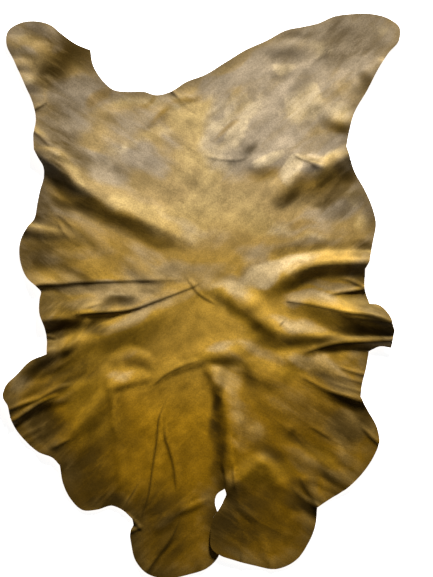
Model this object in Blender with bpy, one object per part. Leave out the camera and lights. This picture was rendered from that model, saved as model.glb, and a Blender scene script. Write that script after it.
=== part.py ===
"""A whole tanned hide, laid out grain side up on a flat surface.

One cut piece of leather: a single closed sheet of even thickness.  Its outline is a smooth curve
through a table of places on the cut edge, and its folds are ridges that stand up from the surface,
each with a crest line, a height along it and a width on either side.  The two hind shanks are cut
apart by a slit, and the right one lies over the left one.

Frame: +Z up, +Y towards the neck, +X to the right; the origin is under the middle of the hide.
Sizes are written in millimetres and modelled in metres.
"""

import math
from collections import namedtuple

import bmesh
import bpy
import numpy as np
from mathutils import Vector

MM = 0.001

# Driving sizes, mm
THICKNESS = 1.5          # the leather, flesh side to grain side
EDGE_STEP = 9.0          # spacing of points along the cut edge
GRID = 13.0              # spacing of the lines that divide the sheet
CREST_STEP = 6.0         # spacing of points along a fold's crest

# The slit between the hind shanks, and how the right shank laps the left one, mm
SLIT_TOP = (41, -346)    # where the slit ends, between the shanks
SLIT_LOW = (28, -392)    # from here down the slit runs straight to the tail end
LAP_FULL = -400          # from here down the shanks have moved in by the whole shift
LAP_SHIFT = 14           # how far each shank has moved in towards the other
LAP_RISE = 5.5           # height of the right shank's edge above the surface
LAP_REACH = 108          # how far from the slit the leather gives way

# The cut edge, clockwise from the right fore shank: (x, y) or (x, y, CORNER), mm, with the shanks apart
CORNER = True
OUTLINE = (
    ("right fore shank", (
        (236, 503), (270, 508), (305, 508), (335, 500), (356, 482), (355, 462), (335, 437),
        (315, 406), (296, 369), (273, 328), (265, 299), (260, 270, CORNER))),
    ("right flank", (
        (274, 225), (293, 191), (307, 158), (313, 130), (308, 101), (301, 63, CORNER),
        (293, 50, CORNER), (293, 13), (301, -14, CORNER))),
    ("right tongue", (
        (317, -16), (335, -33), (346, -61, CORNER), (340, -92, CORNER), (321, -89),
        (300, -99, CORNER))),
    ("right belly", (
        (296, -126), (288, -157), (285, -181, CORNER), (298, -205), (315, -237), (319, -261),
        (310, -286), (287, -320), (260, -346), (233, -363), (207, -380, CORNER))),
    ("right hind shank", (
        (204, -412), (189, -448), (170, -474), (132, -491), (96, -484), (68, -475), (44, -465))),
    ("slit, right side", (
        (31, -453), (29, -430), (34, -400), (41, -382), (45, -357, CORNER), (41, -346, CORNER))),
    ("slit, left side", (
        (25, -357), (17, -373), (16, -389), (19, -412), (21, -439), (16, -468))),
    ("left hind shank", (
        (-2, -489), (-31, -501), (-65, -508), (-100, -498), (-120, -475), (-127, -448),
        (-129, -423), (-123, -410), (-126, -400, CORNER))),
    ("left haunch", (
        (-144, -384), (-161, -377), (-189, -384), (-214, -385), (-237, -364), (-250, -337),
        (-256, -304, CORNER))),
    ("left belly", (
        (-268, -291), (-295, -280), (-318, -260), (-337, -236), (-346, -212), (-349, -197),
        (-358, -181), (-354, -164), (-333, -141), (-306, -115), (-279, -104, CORNER))),
    ("left waist", (
        (-279, -81), (-284, -54), (-292, -31), (-292, -5), (-290, 9), (-297, 17, CORNER))),
    ("left flank", (
        (-315, 33), (-326, 58), (-329, 83), (-325, 106), (-316, 122), (-302, 140), (-296, 169),
        (-291, 193), (-284, 218), (-285, 234), (-293, 248), (-302, 264, CORNER))),
    ("left fore shank", (
        (-303, 290), (-299, 319), (-303, 342), (-320, 383), (-339, 425), (-352, 455), (-350, 476),
        (-329, 491), (-302, 495), (-273, 488), (-253, 472), (-228, 454), (-201, 443, CORNER))),
    ("neck", (
        (-196, 416), (-182, 392), (-158, 371), (-133, 368), (-104, 368), (-84, 362), (-59, 367),
        (-28, 386), (4, 398), (42, 421), (80, 444), (116, 460), (152, 479), (182, 485), (211, 492))),
)

# How a fold's crest is shaped: the radius of its top in mm, and how full its sides are (0 to 2)
Shape = namedtuple("Shape", "top_radius fullness")
SOFT = Shape(9, 1.6)
ROUND = Shape(5, 1.2)
KEEN = Shape(2.5, 0.8)
SHARP = Shape(2, 0.4)

# The main folds.  A row is a place on the crest: x, y, height of the crest there, and the width of
# the fold's left and right sides as one walks down the table, all in mm.
Crest = namedtuple("Crest", "x y height left right")
FOLDS = (
    ("left shoulder", KEEN, (
        (-320, 274, 15, 79, 29), (-298, 261, 15, 79, 29), (-284, 251, 15, 79, 29),
        (-264, 238, 15.5, 76, 31), (-246, 223, 16, 72, 34), (-226, 206, 15.5, 68, 38),
        (-201, 189, 15, 68, 41), (-174, 169, 13.5, 68, 41), (-153, 156, 12.5, 68, 41),
        (-111, 138, 10.5, 65, 38), (-68, 121, 8, 54, 32), (-36, 106, 4.5, 40, 25),
        (-3, 92, 0, 22, 18))),
    ("left flank pleat", KEEN, (
        (-338, 126, 7, 13, 20), (-309, 121, 7, 13, 20), (-273, 114, 5, 11, 18),
        (-241, 108, 0, 9, 14))),
    ("left waist pleat", SHARP, (
        (-313, 16, 10, 32, 14), (-288, 22, 9, 32, 14), (-255, 23, 6.5, 27, 13),
        (-226, 26, 4, 18, 9), (-187, 27, 2.2, 13, 6), (-129, 29, 1.6, 11, 5), (-10, 31, 0, 9, 5))),
    ("left waist shelf", ROUND, (
        (-306, -43, 14, 61, 22), (-273, -38, 14, 61, 23), (-223, -32, 9, 47, 22),
        (-174, -27, 4, 29, 16), (-138, -22, 0, 22, 14))),
    ("left waist lip", SHARP, (
        (-237, -32, 0, 14, 7), (-201, -29, 4, 22, 7), (-151, -26, 4.5, 22, 7),
        (-122, -21, 4, 22, 7), (-93, -11, 3.5, 22, 7), (-25, 15, 1.5, 13, 5), (0, 27, 0, 9, 5))),
    ("left haunch", ROUND, (
        (-363, -187, 9, 25, 36), (-333, -148, 14, 25, 40), (-306, -119, 17, 25, 43),
        (-279, -104, 17, 22, 43), (-244, -95, 13, 18, 36), (-212, -81, 9, 16, 32),
        (-178, -68, 8, 18, 36), (-138, -58, 9, 22, 40), (-93, -40, 8, 22, 43),
        (-57, -20, 5, 18, 40), (-25, 0, 2, 13, 25), (-3, 16, 0, 9, 14))),
    ("left belly upper", ROUND, (
        (-360, -198, 7, 18, 22), (-333, -189, 8, 18, 22), (-295, -169, 7, 16, 22),
        (-252, -149, 5, 16, 22), (-205, -119, 3, 16, 18), (-176, -97, 0, 14, 14))),
    ("left belly middle", ROUND, (
        (-360, -223, 6, 13, 14), (-333, -211, 7, 13, 16), (-291, -189, 6, 13, 18),
        (-248, -171, 5, 14, 22), (-208, -157, 3, 14, 22), (-176, -137, 0, 14, 18))),
    ("left belly lower", ROUND, (
        (-309, -299, 0, 14, 22), (-280, -281, 6, 16, 25), (-253, -261, 8, 16, 27),
        (-225, -238, 8, 16, 27), (-199, -209, 7, 16, 22), (-171, -175, 4, 13, 16),
        (-154, -151, 0, 11, 13))),
    ("right shoulder", KEEN, (
        (98, 144, 0, 18, 25), (123, 166, 3, 22, 32), (144, 191, 7, 25, 36),
        (159, 205, 9, 27, 36), (173, 218, 10, 27, 36), (188, 232, 10, 22, 36),
        (202, 238, 10, 18, 36), (216, 234, 11, 18, 40), (238, 241, 13, 18, 43),
        (261, 254, 15, 18, 43), (288, 265, 15, 18, 43))),
    ("right flank", KEEN, (
        (80, -27, 0, 22, 22), (99, -11, 3, 29, 40), (116, 9, 5, 36, 47), (134, 27, 7.5, 36, 45),
        (155, 40, 10.5, 32, 36), (177, 50, 12, 25, 29), (198, 57, 12, 22, 25),
        (222, 61, 12, 20, 27), (249, 63, 12, 18, 27), (297, 63, 12, 18, 27),
        (328, 61, 12, 18, 27))),
    ("right flank apron", SOFT, (
        (98, 11, 0, 18, 25), (130, 31, 3, 22, 43), (170, 49, 4, 22, 50), (216, 59, 5, 22, 54),
        (267, 61, 5, 22, 54), (328, 61, 5, 22, 54))),
    ("right tongue", SHARP, (
        (150, -7, 0, 11, 14), (162, -9, 4, 18, 22), (188, -13, 5.5, 22, 32),
        (213, -18, 8, 27, 47), (238, -23, 13, 31, 56), (267, -29, 19, 32, 58),
        (294, -32, 22, 32, 58), (328, -41, 23, 32, 58), (360, -54, 23, 32, 54))),
    ("right tongue, under side", KEEN, (
        (87, -29, 0, 14, 18), (108, -45, 4, 23, 32), (125, -58, 7, 29, 36),
        (157, -65, 9, 31, 36), (180, -67, 9, 27, 36), (204, -72, 8, 22, 31),
        (236, -77, 5, 11, 22), (272, -77, 4, 7, 18), (319, -77, 4, 7, 14), (357, -79, 4, 7, 14))),
    ("right tongue, lower lip", SHARP, (
        (180, -104, 0, 7, 9), (202, -95, 3, 9, 13), (240, -85, 5, 9, 14), (272, -82, 5, 9, 14),
        (314, -81, 5, 9, 14), (357, -79, 5, 9, 14))),
    ("right belly pleat", SHARP, (
        (170, -140, 0, 11, 11), (195, -153, 2, 14, 16), (222, -166, 3.5, 20, 20),
        (252, -176, 5.5, 23, 23), (281, -184, 7, 25, 25), (306, -193, 7, 25, 25))),
    ("back mound", ROUND, (
        (-7, 22, 0, 14, 13), (15, 14, 3, 18, 18), (36, 9, 6, 23, 22), (54, -2, 7, 27, 23),
        (69, -11, 7, 29, 25), (89, -20, 7, 29, 25), (108, -38, 6, 25, 25), (126, -54, 3, 22, 22),
        (144, -63, 0, 14, 16))),
    ("loin crease", ROUND, (
        (-97, -169, 0, 11, 7), (-75, -148, 2, 22, 7), (-54, -135, 2.5, 25, 7),
        (-9, -117, 4, 32, 11), (22, -106, 6.5, 36, 20), (47, -103, 7, 36, 23),
        (69, -97, 5, 32, 20), (90, -86, 2, 22, 13), (108, -74, 0, 14, 13))),
    ("saddle crown", ROUND, (
        (62, -108, 0, 18, 14), (80, -126, 3.5, 32, 18), (101, -140, 4.5, 43, 22),
        (126, -148, 4, 43, 22), (148, -142, 2, 29, 18), (162, -126, 0, 18, 14))),
    ("rump ridge", KEEN, (
        (0, -133, 0, 11, 9), (11, -133, 5, 14, 13), (20, -142, 8, 25, 16),
        (29, -160, 10, 32, 20), (38, -182, 11, 43, 23), (45, -205, 12, 50, 25),
        (48, -230, 12, 50, 25), (47, -259, 11, 50, 23), (45, -295, 10, 40, 22),
        (44, -324, 6, 29, 18), (42, -349, 3, 18, 14))),
    ("left fore shank", SOFT, (
        (-324, 421, 0, 18, 22), (-302, 428, 4, 22, 36), (-273, 446, 8, 25, 54),
        (-255, 468, 9, 25, 61), (-237, 497, 9, 25, 61))),
    ("withers ridge", ROUND, (
        (44, 230, 0, 14, 18), (58, 250, 3, 18, 20), (80, 281, 4, 20, 22),
        (101, 311, 3.5, 20, 22), (132, 347, 2, 20, 22), (173, 392, 1.5, 20, 22),
        (209, 428, 0, 16, 18))),
    ("right fore shank pleat", KEEN, (
        (206, 358, 0, 11, 11), (215, 344, 2.5, 16, 14), (225, 326, 4, 18, 20),
        (240, 315, 5, 20, 22), (258, 311, 5.5, 22, 23), (288, 315, 5.5, 22, 23))),
    ("right shank crown", KEEN, (
        (29, -367, 0, 18, 18), (51, -344, 5, 23, 32), (72, -326, 7.5, 25, 40),
        (92, -310, 8.5, 25, 40), (108, -299, 8.5, 22, 40), (125, -311, 6.5, 18, 36),
        (141, -333, 4, 14, 29), (153, -355, 0, 11, 14))),
)

LEATHER_COLOUR = (0.34, 0.19, 0.05, 1.0)
LEATHER_ROUGHNESS = 0.5


def smooth(t):
    """A soft step from 0 at t = 0 to 1 at t = 1, for a number or an array."""
    t = np.clip(t, 0.0, 1.0)
    return t * t * (3.0 - 2.0 * t)


def clear_scene():
    for old in list(bpy.data.objects):
        bpy.data.objects.remove(old, do_unlink=True)


def hermite(start, end, start_slope, end_slope, t):
    """The cubic curve from start to end that leaves and arrives along the given slopes."""
    return (
        (2 * t**3 - 3 * t**2 + 1) * start
        + (t**3 - 2 * t**2 + t) * start_slope
        + (3 * t**2 - 2 * t**3) * end
        + (t**3 - t**2) * end_slope
    )


def edge_direction(before, here, after):
    """Unit-speed direction of the cut edge at a place, from its two neighbours."""
    back = (here - before).length
    ahead = (after - here).length
    return ((here - before) / back * ahead + (after - here) / ahead * back) / (back + ahead)


def cut_edge():
    """Points along the whole cut edge: a smooth curve through the table, broken at its corners."""
    rows = [row for _name, stretch in OUTLINE for row in stretch]
    places = [Vector(row[:2]) for row in rows]
    corners = [len(row) > 2 for row in rows]
    count = len(places)
    points = []
    for i in range(count):
        start, end = places[i], places[(i + 1) % count]
        chord = end - start
        leave = arrive = chord
        if not corners[i]:
            leave = edge_direction(places[i - 1], start, end) * chord.length
        if not corners[(i + 1) % count]:
            arrive = edge_direction(start, end, places[(i + 2) % count]) * chord.length
        steps = max(1, round(chord.length / EDGE_STEP))
        for k in range(steps):
            points.append(hermite(start, end, leave, arrive, k / steps))
    return points


def flat_sheet():
    """The cut hide as one flat face, divided by a square grid of lines."""
    sheet = bmesh.new()
    sheet.faces.new([sheet.verts.new((p.x, p.y, 0.0)) for p in cut_edge()])
    for axis in (0, 1):
        normal = Vector((0, 0, 0))
        normal[axis] = 1.0
        low = min(v.co[axis] for v in sheet.verts)
        high = max(v.co[axis] for v in sheet.verts)
        for k in range(math.ceil(low / GRID), math.ceil(high / GRID)):
            bmesh.ops.bisect_plane(
                sheet,
                geom=sheet.verts[:] + sheet.edges[:] + sheet.faces[:],
                dist=0.01,
                plane_co=normal * (k * GRID),
                plane_no=normal,
            )
    bmesh.ops.triangulate(sheet, faces=[f for f in sheet.faces if len(f.verts) > 4])
    if sum(f.normal.z for f in sheet.faces) < 0:
        bmesh.ops.reverse_faces(sheet, faces=sheet.faces)
    return sheet


def crest_line(rows):
    """A fold's table as closely spaced rows: a smooth curve in plan, eased heights and widths."""
    table = np.array(rows, dtype=float)
    line = []
    for i in range(len(table) - 1):
        start, end = table[i], table[i + 1]
        leave = (end - table[i - 1]) / 2 if i > 0 else end - start
        arrive = (table[i + 2] - start) / 2 if i + 2 < len(table) else end - start
        steps = max(2, round(math.hypot(*(end - start)[:2]) / CREST_STEP))
        for t in np.arange(steps) / steps:
            row = hermite(start, end, leave, arrive, t)
            row[2:] = start[2:] + (end - start)[2:] * (t + smooth(t)) / 2
            line.append(row)
    line.append(table[-1])
    return np.array(line)


def fold_height(x, y, shape, rows):
    """Height of one fold at each point (x, y): full at the crest, eased to zero at its sides."""
    line = crest_line(rows)
    nearest = np.full(x.shape, np.inf)
    height = np.zeros(x.shape)
    width = np.ones(x.shape)
    for start, end in zip(line[:-1], line[1:]):
        a, b = Crest(*start), Crest(*end)
        run_x, run_y = b.x - a.x, b.y - a.y
        along = np.clip(((x - a.x) * run_x + (y - a.y) * run_y) / (run_x**2 + run_y**2), 0.0, 1.0)
        off_x, off_y = x - a.x - along * run_x, y - a.y - along * run_y
        distance = np.hypot(off_x, off_y)
        on_left = run_x * off_y - run_y * off_x > 0.0
        left = a.left + (b.left - a.left) * along
        right = a.right + (b.right - a.right) * along
        closer = distance < nearest
        nearest = np.where(closer, distance, nearest)
        height = np.where(closer, a.height + (b.height - a.height) * along, height)
        width = np.where(closer, np.where(on_left, left, right), width)
    rounded = np.hypot(nearest, shape.top_radius) - shape.top_radius
    t = np.clip(rounded / width, 0.0, 1.0)
    return height * (1.0 - t) ** 2 * (1.0 + shape.fullness * t)


def slit_x(y):
    """The middle of the slit at height y."""
    rise = np.clip((y - SLIT_LOW[1]) / (SLIT_TOP[1] - SLIT_LOW[1]), 0.0, 1.0)
    return SLIT_LOW[0] + (SLIT_TOP[0] - SLIT_LOW[0]) * rise


def lay(sheet):
    """Move the flat sheet to how it lies: hind shanks lapped, folds standing up."""
    x = np.array([v.co.x for v in sheet.verts])
    y = np.array([v.co.y for v in sheet.verts])
    side = np.where(x > slit_x(y), 1.0, -1.0)
    down = smooth((SLIT_TOP[1] - y) / (SLIT_TOP[1] - LAP_FULL))
    near = 1.0 - smooth(np.abs(x - slit_x(y)) / LAP_REACH)
    x = x - side * LAP_SHIFT * down * near
    z = np.where(side > 0.0, LAP_RISE * down * near, 0.0)
    for _name, shape, rows in FOLDS:
        z = z + fold_height(x, y, shape, rows)
    for i, v in enumerate(sheet.verts):
        v.co = (x[i], y[i], z[i])


def centre(sheet):
    """Put the middle of the hide over the origin."""
    middle = [
        (min(v.co[axis] for v in sheet.verts) + max(v.co[axis] for v in sheet.verts)) / 2
        for axis in (0, 1)
    ]
    bmesh.ops.translate(sheet, verts=sheet.verts, vec=(-middle[0], -middle[1], 0.0))


def leather_material():
    material = bpy.data.materials.new("leather")
    material.use_nodes = True
    shader = material.node_tree.nodes["Principled BSDF"]
    shader.inputs["Base Color"].default_value = LEATHER_COLOUR
    shader.inputs["Roughness"].default_value = LEATHER_ROUGHNESS
    shader.inputs["Metallic"].default_value = 0.0
    return material


def make_hide():
    sheet = flat_sheet()
    lay(sheet)
    centre(sheet)
    bmesh.ops.scale(sheet, verts=sheet.verts, vec=(MM, MM, MM))
    mesh = bpy.data.meshes.new("hide")
    sheet.to_mesh(mesh)
    sheet.free()
    mesh.shade_smooth()
    mesh.materials.append(leather_material())
    hide = bpy.data.objects.new("hide", mesh)
    bpy.context.scene.collection.objects.link(hide)
    # The sheet is the flesh side; the thickness is added above it, so the hide rests at z = 0.
    leather = hide.modifiers.new("leather thickness", "SOLIDIFY")
    leather.thickness = THICKNESS * MM
    leather.offset = 1.0
    leather.use_even_offset = True
    return hide


clear_scene()
make_hide()
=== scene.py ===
# %% [markdown]
# # A whole tanned hide
#
# A hide is one cut piece of leather.  It has a smooth grain side with the dye and finish on it, a
# suede-like flesh side, and a raw cut edge a millimetre and a half thick.  Laid on a table it never
# lies quite flat: stiff folds run in from the flanks, fine creases fan out from the tight places,
# and the thin edges ruffle.  Everything here follows from that one sheet: its cut edge is drawn
# flat, the sheet is divided, and then it is laid down with its folds.
#
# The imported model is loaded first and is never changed.  It gives the box that the hide must fill.

# %% Load the fixed frame
import math
from collections import namedtuple

import bmesh
import bpy
import numpy as np
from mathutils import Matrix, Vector, kdtree, noise


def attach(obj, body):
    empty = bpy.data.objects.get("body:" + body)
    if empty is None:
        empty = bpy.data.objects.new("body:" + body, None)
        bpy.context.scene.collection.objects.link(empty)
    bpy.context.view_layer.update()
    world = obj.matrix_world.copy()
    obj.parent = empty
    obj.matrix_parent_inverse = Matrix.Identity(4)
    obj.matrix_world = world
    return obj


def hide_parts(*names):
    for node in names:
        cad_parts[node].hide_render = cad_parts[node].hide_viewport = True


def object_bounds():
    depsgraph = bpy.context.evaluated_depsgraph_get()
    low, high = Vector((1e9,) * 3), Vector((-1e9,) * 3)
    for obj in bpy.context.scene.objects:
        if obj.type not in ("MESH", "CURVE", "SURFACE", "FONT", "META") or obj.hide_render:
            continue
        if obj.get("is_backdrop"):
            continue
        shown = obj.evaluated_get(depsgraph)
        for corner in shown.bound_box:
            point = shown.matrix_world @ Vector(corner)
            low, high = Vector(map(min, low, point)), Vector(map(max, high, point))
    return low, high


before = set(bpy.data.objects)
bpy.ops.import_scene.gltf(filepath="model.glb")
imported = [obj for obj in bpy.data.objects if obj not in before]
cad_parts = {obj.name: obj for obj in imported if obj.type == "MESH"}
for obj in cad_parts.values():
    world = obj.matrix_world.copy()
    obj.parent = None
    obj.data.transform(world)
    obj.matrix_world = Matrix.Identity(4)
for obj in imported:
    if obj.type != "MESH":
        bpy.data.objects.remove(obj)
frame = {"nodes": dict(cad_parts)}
cad_box = [list(corner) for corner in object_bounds()]
print("pieces of the fixed model:", ", ".join(frame["nodes"]))
print("box of the fixed model, m:", [[round(c, 4) for c in corner] for corner in cad_box])

# %% [markdown]
# ## Sizes
#
# The leather is drawn in millimetres, because that is how a hide is measured, and scaled to metres
# once at the end.  The hind shanks are cut apart by a slit, and the right one lies over the left
# one, so the flat pattern has them side by side and laying the hide down moves them together.

# %% Sizes in millimetres
MM = 0.001
THICKNESS = 1.5          # flesh side to grain side
EDGE_STEP = 3.4          # spacing of points along the cut edge
GRID = 4.3               # spacing of the lines that divide the sheet
CREST_STEP = 4.0         # spacing of points along a fold's crest

SLIT_TOP = (41, -346)    # where the slit ends, between the shanks
SLIT_LOW = (28, -392)    # from here down the slit runs straight to the tail end
LAP_FULL = -400          # from here down the shanks have moved in by the whole shift
LAP_SHIFT = 14           # how far each shank has moved in towards the other
LAP_RISE = 5.5           # height of the right shank's edge above the surface
LAP_REACH = 108          # how far from the slit the leather gives way

# %% [markdown]
# ## The cut edge
#
# A hide's outline is drawn with a few places along the knife's path and a smooth curve through
# them.  A cubic between each pair of places is enough.  At a corner the curve leaves straight
# towards the next place, which keeps the corner crisp.

# %% The places on the cut edge
CORNER = True
OUTLINE = (
    ("right fore shank", (
        (236, 503), (270, 508), (305, 508), (335, 500), (356, 482), (355, 462), (335, 437),
        (315, 406), (296, 369), (273, 328), (265, 299), (260, 270, CORNER))),
    ("right flank", (
        (274, 225), (293, 191), (307, 158), (313, 130), (308, 101), (301, 63, CORNER),
        (293, 50, CORNER), (293, 13), (301, -14, CORNER))),
    ("right tongue", (
        (317, -16), (335, -33), (346, -61, CORNER), (340, -92, CORNER), (321, -89),
        (300, -99, CORNER))),
    ("right belly", (
        (296, -126), (288, -157), (285, -181, CORNER), (298, -205), (315, -237), (319, -261),
        (310, -286), (287, -320), (260, -346), (233, -363), (207, -380, CORNER))),
    ("right hind shank", (
        (204, -412), (189, -448), (170, -474), (132, -491), (96, -484), (68, -475), (44, -465))),
    ("slit, right side", (
        (31, -453), (29, -430), (34, -400), (41, -382), (45, -357, CORNER), (41, -346, CORNER))),
    ("slit, left side", (
        (25, -357), (17, -373), (16, -389), (19, -412), (21, -439), (16, -468))),
    ("left hind shank", (
        (-2, -489), (-31, -501), (-65, -508), (-100, -498), (-120, -475), (-127, -448),
        (-129, -423), (-123, -410), (-126, -400, CORNER))),
    ("left haunch", (
        (-144, -384), (-161, -377), (-189, -384), (-214, -385), (-237, -364), (-250, -337),
        (-256, -304, CORNER))),
    ("left belly", (
        (-268, -291), (-295, -280), (-318, -260), (-337, -236), (-346, -212), (-349, -197),
        (-358, -181), (-354, -164), (-333, -141), (-306, -115), (-279, -104, CORNER))),
    ("left waist", (
        (-279, -81), (-284, -54), (-292, -31), (-292, -5), (-290, 9), (-297, 17, CORNER))),
    ("left flank", (
        (-315, 33), (-326, 58), (-329, 83), (-325, 106), (-316, 122), (-302, 140), (-296, 169),
        (-291, 193), (-284, 218), (-285, 234), (-293, 248), (-302, 264, CORNER))),
    ("left fore shank", (
        (-303, 290), (-299, 319), (-303, 342), (-320, 383), (-339, 425), (-352, 455), (-350, 476),
        (-329, 491), (-302, 495), (-273, 488), (-253, 472), (-228, 454), (-201, 443, CORNER))),
    ("neck", (
        (-196, 416), (-182, 392), (-158, 371), (-133, 368), (-104, 368), (-84, 362), (-59, 367),
        (-28, 386), (4, 398), (42, 421), (80, 444), (116, 460), (152, 479), (182, 485), (211, 492))),
)
print("places on the cut edge:", sum(len(stretch) for _name, stretch in OUTLINE))

# %% The curve through them
def hermite(start, end, leave, arrive, t):
    """The cubic from start to end that leaves and arrives along the given slopes."""
    return (
        (2 * t**3 - 3 * t**2 + 1) * start
        + (t**3 - 2 * t**2 + t) * leave
        + (3 * t**2 - 2 * t**3) * end
        + (t**3 - t**2) * arrive
    )


def edge_direction(before, here, after):
    """The slope of the edge at a place, which leans toward the nearer neighbour's."""
    back = (here - before).length
    ahead = (after - here).length
    return ((here - before) / back * ahead + (after - here) / ahead * back) / (back + ahead)


def cut_edge():
    """Points all the way round, on a smooth curve that breaks only at the corners."""
    rows = [row for _name, stretch in OUTLINE for row in stretch]
    places = [Vector(row[:2]) for row in rows]
    corners = [len(row) > 2 for row in rows]
    count = len(places)
    points = []
    for i in range(count):
        start, end = places[i], places[(i + 1) % count]
        chord = end - start
        leave = arrive = chord
        if not corners[i]:
            leave = edge_direction(places[i - 1], start, end) * chord.length
        if not corners[(i + 1) % count]:
            arrive = edge_direction(start, end, places[(i + 2) % count]) * chord.length
        steps = max(1, round(chord.length / EDGE_STEP))
        for k in range(steps):
            points.append(hermite(start, end, leave, arrive, k / steps))
    return points


edge_points = cut_edge()
edge_length = sum((b - a).length for a, b in zip(edge_points, edge_points[1:] + edge_points[:1]))
print(f"cut edge: {len(edge_points)} points, {edge_length * MM:.2f} m round")

# %% [markdown]
# ## Folds and creases
#
# A fold is a ridge with a crest line.  Each row of a table is a place on the crest: where it is,
# how high it stands there, and how far its two sides reach.  A gentle side and a steep side make
# the lazy roll of heavy leather, and a narrow fold with a small top radius makes a crease.  The
# height eases to nothing at the inner end and at both sides, so folds can simply be added up.

# %% How a fold is shaped
Shape = namedtuple("Shape", "top_radius fullness")
SOFT = Shape(9, 1.6)
ROUND = Shape(5, 1.2)
KEEN = Shape(2.5, 0.8)
SHARP = Shape(2, 0.4)
FINE = Shape(1.4, 0.2)

Crest = namedtuple("Crest", "x y height left right")

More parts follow.
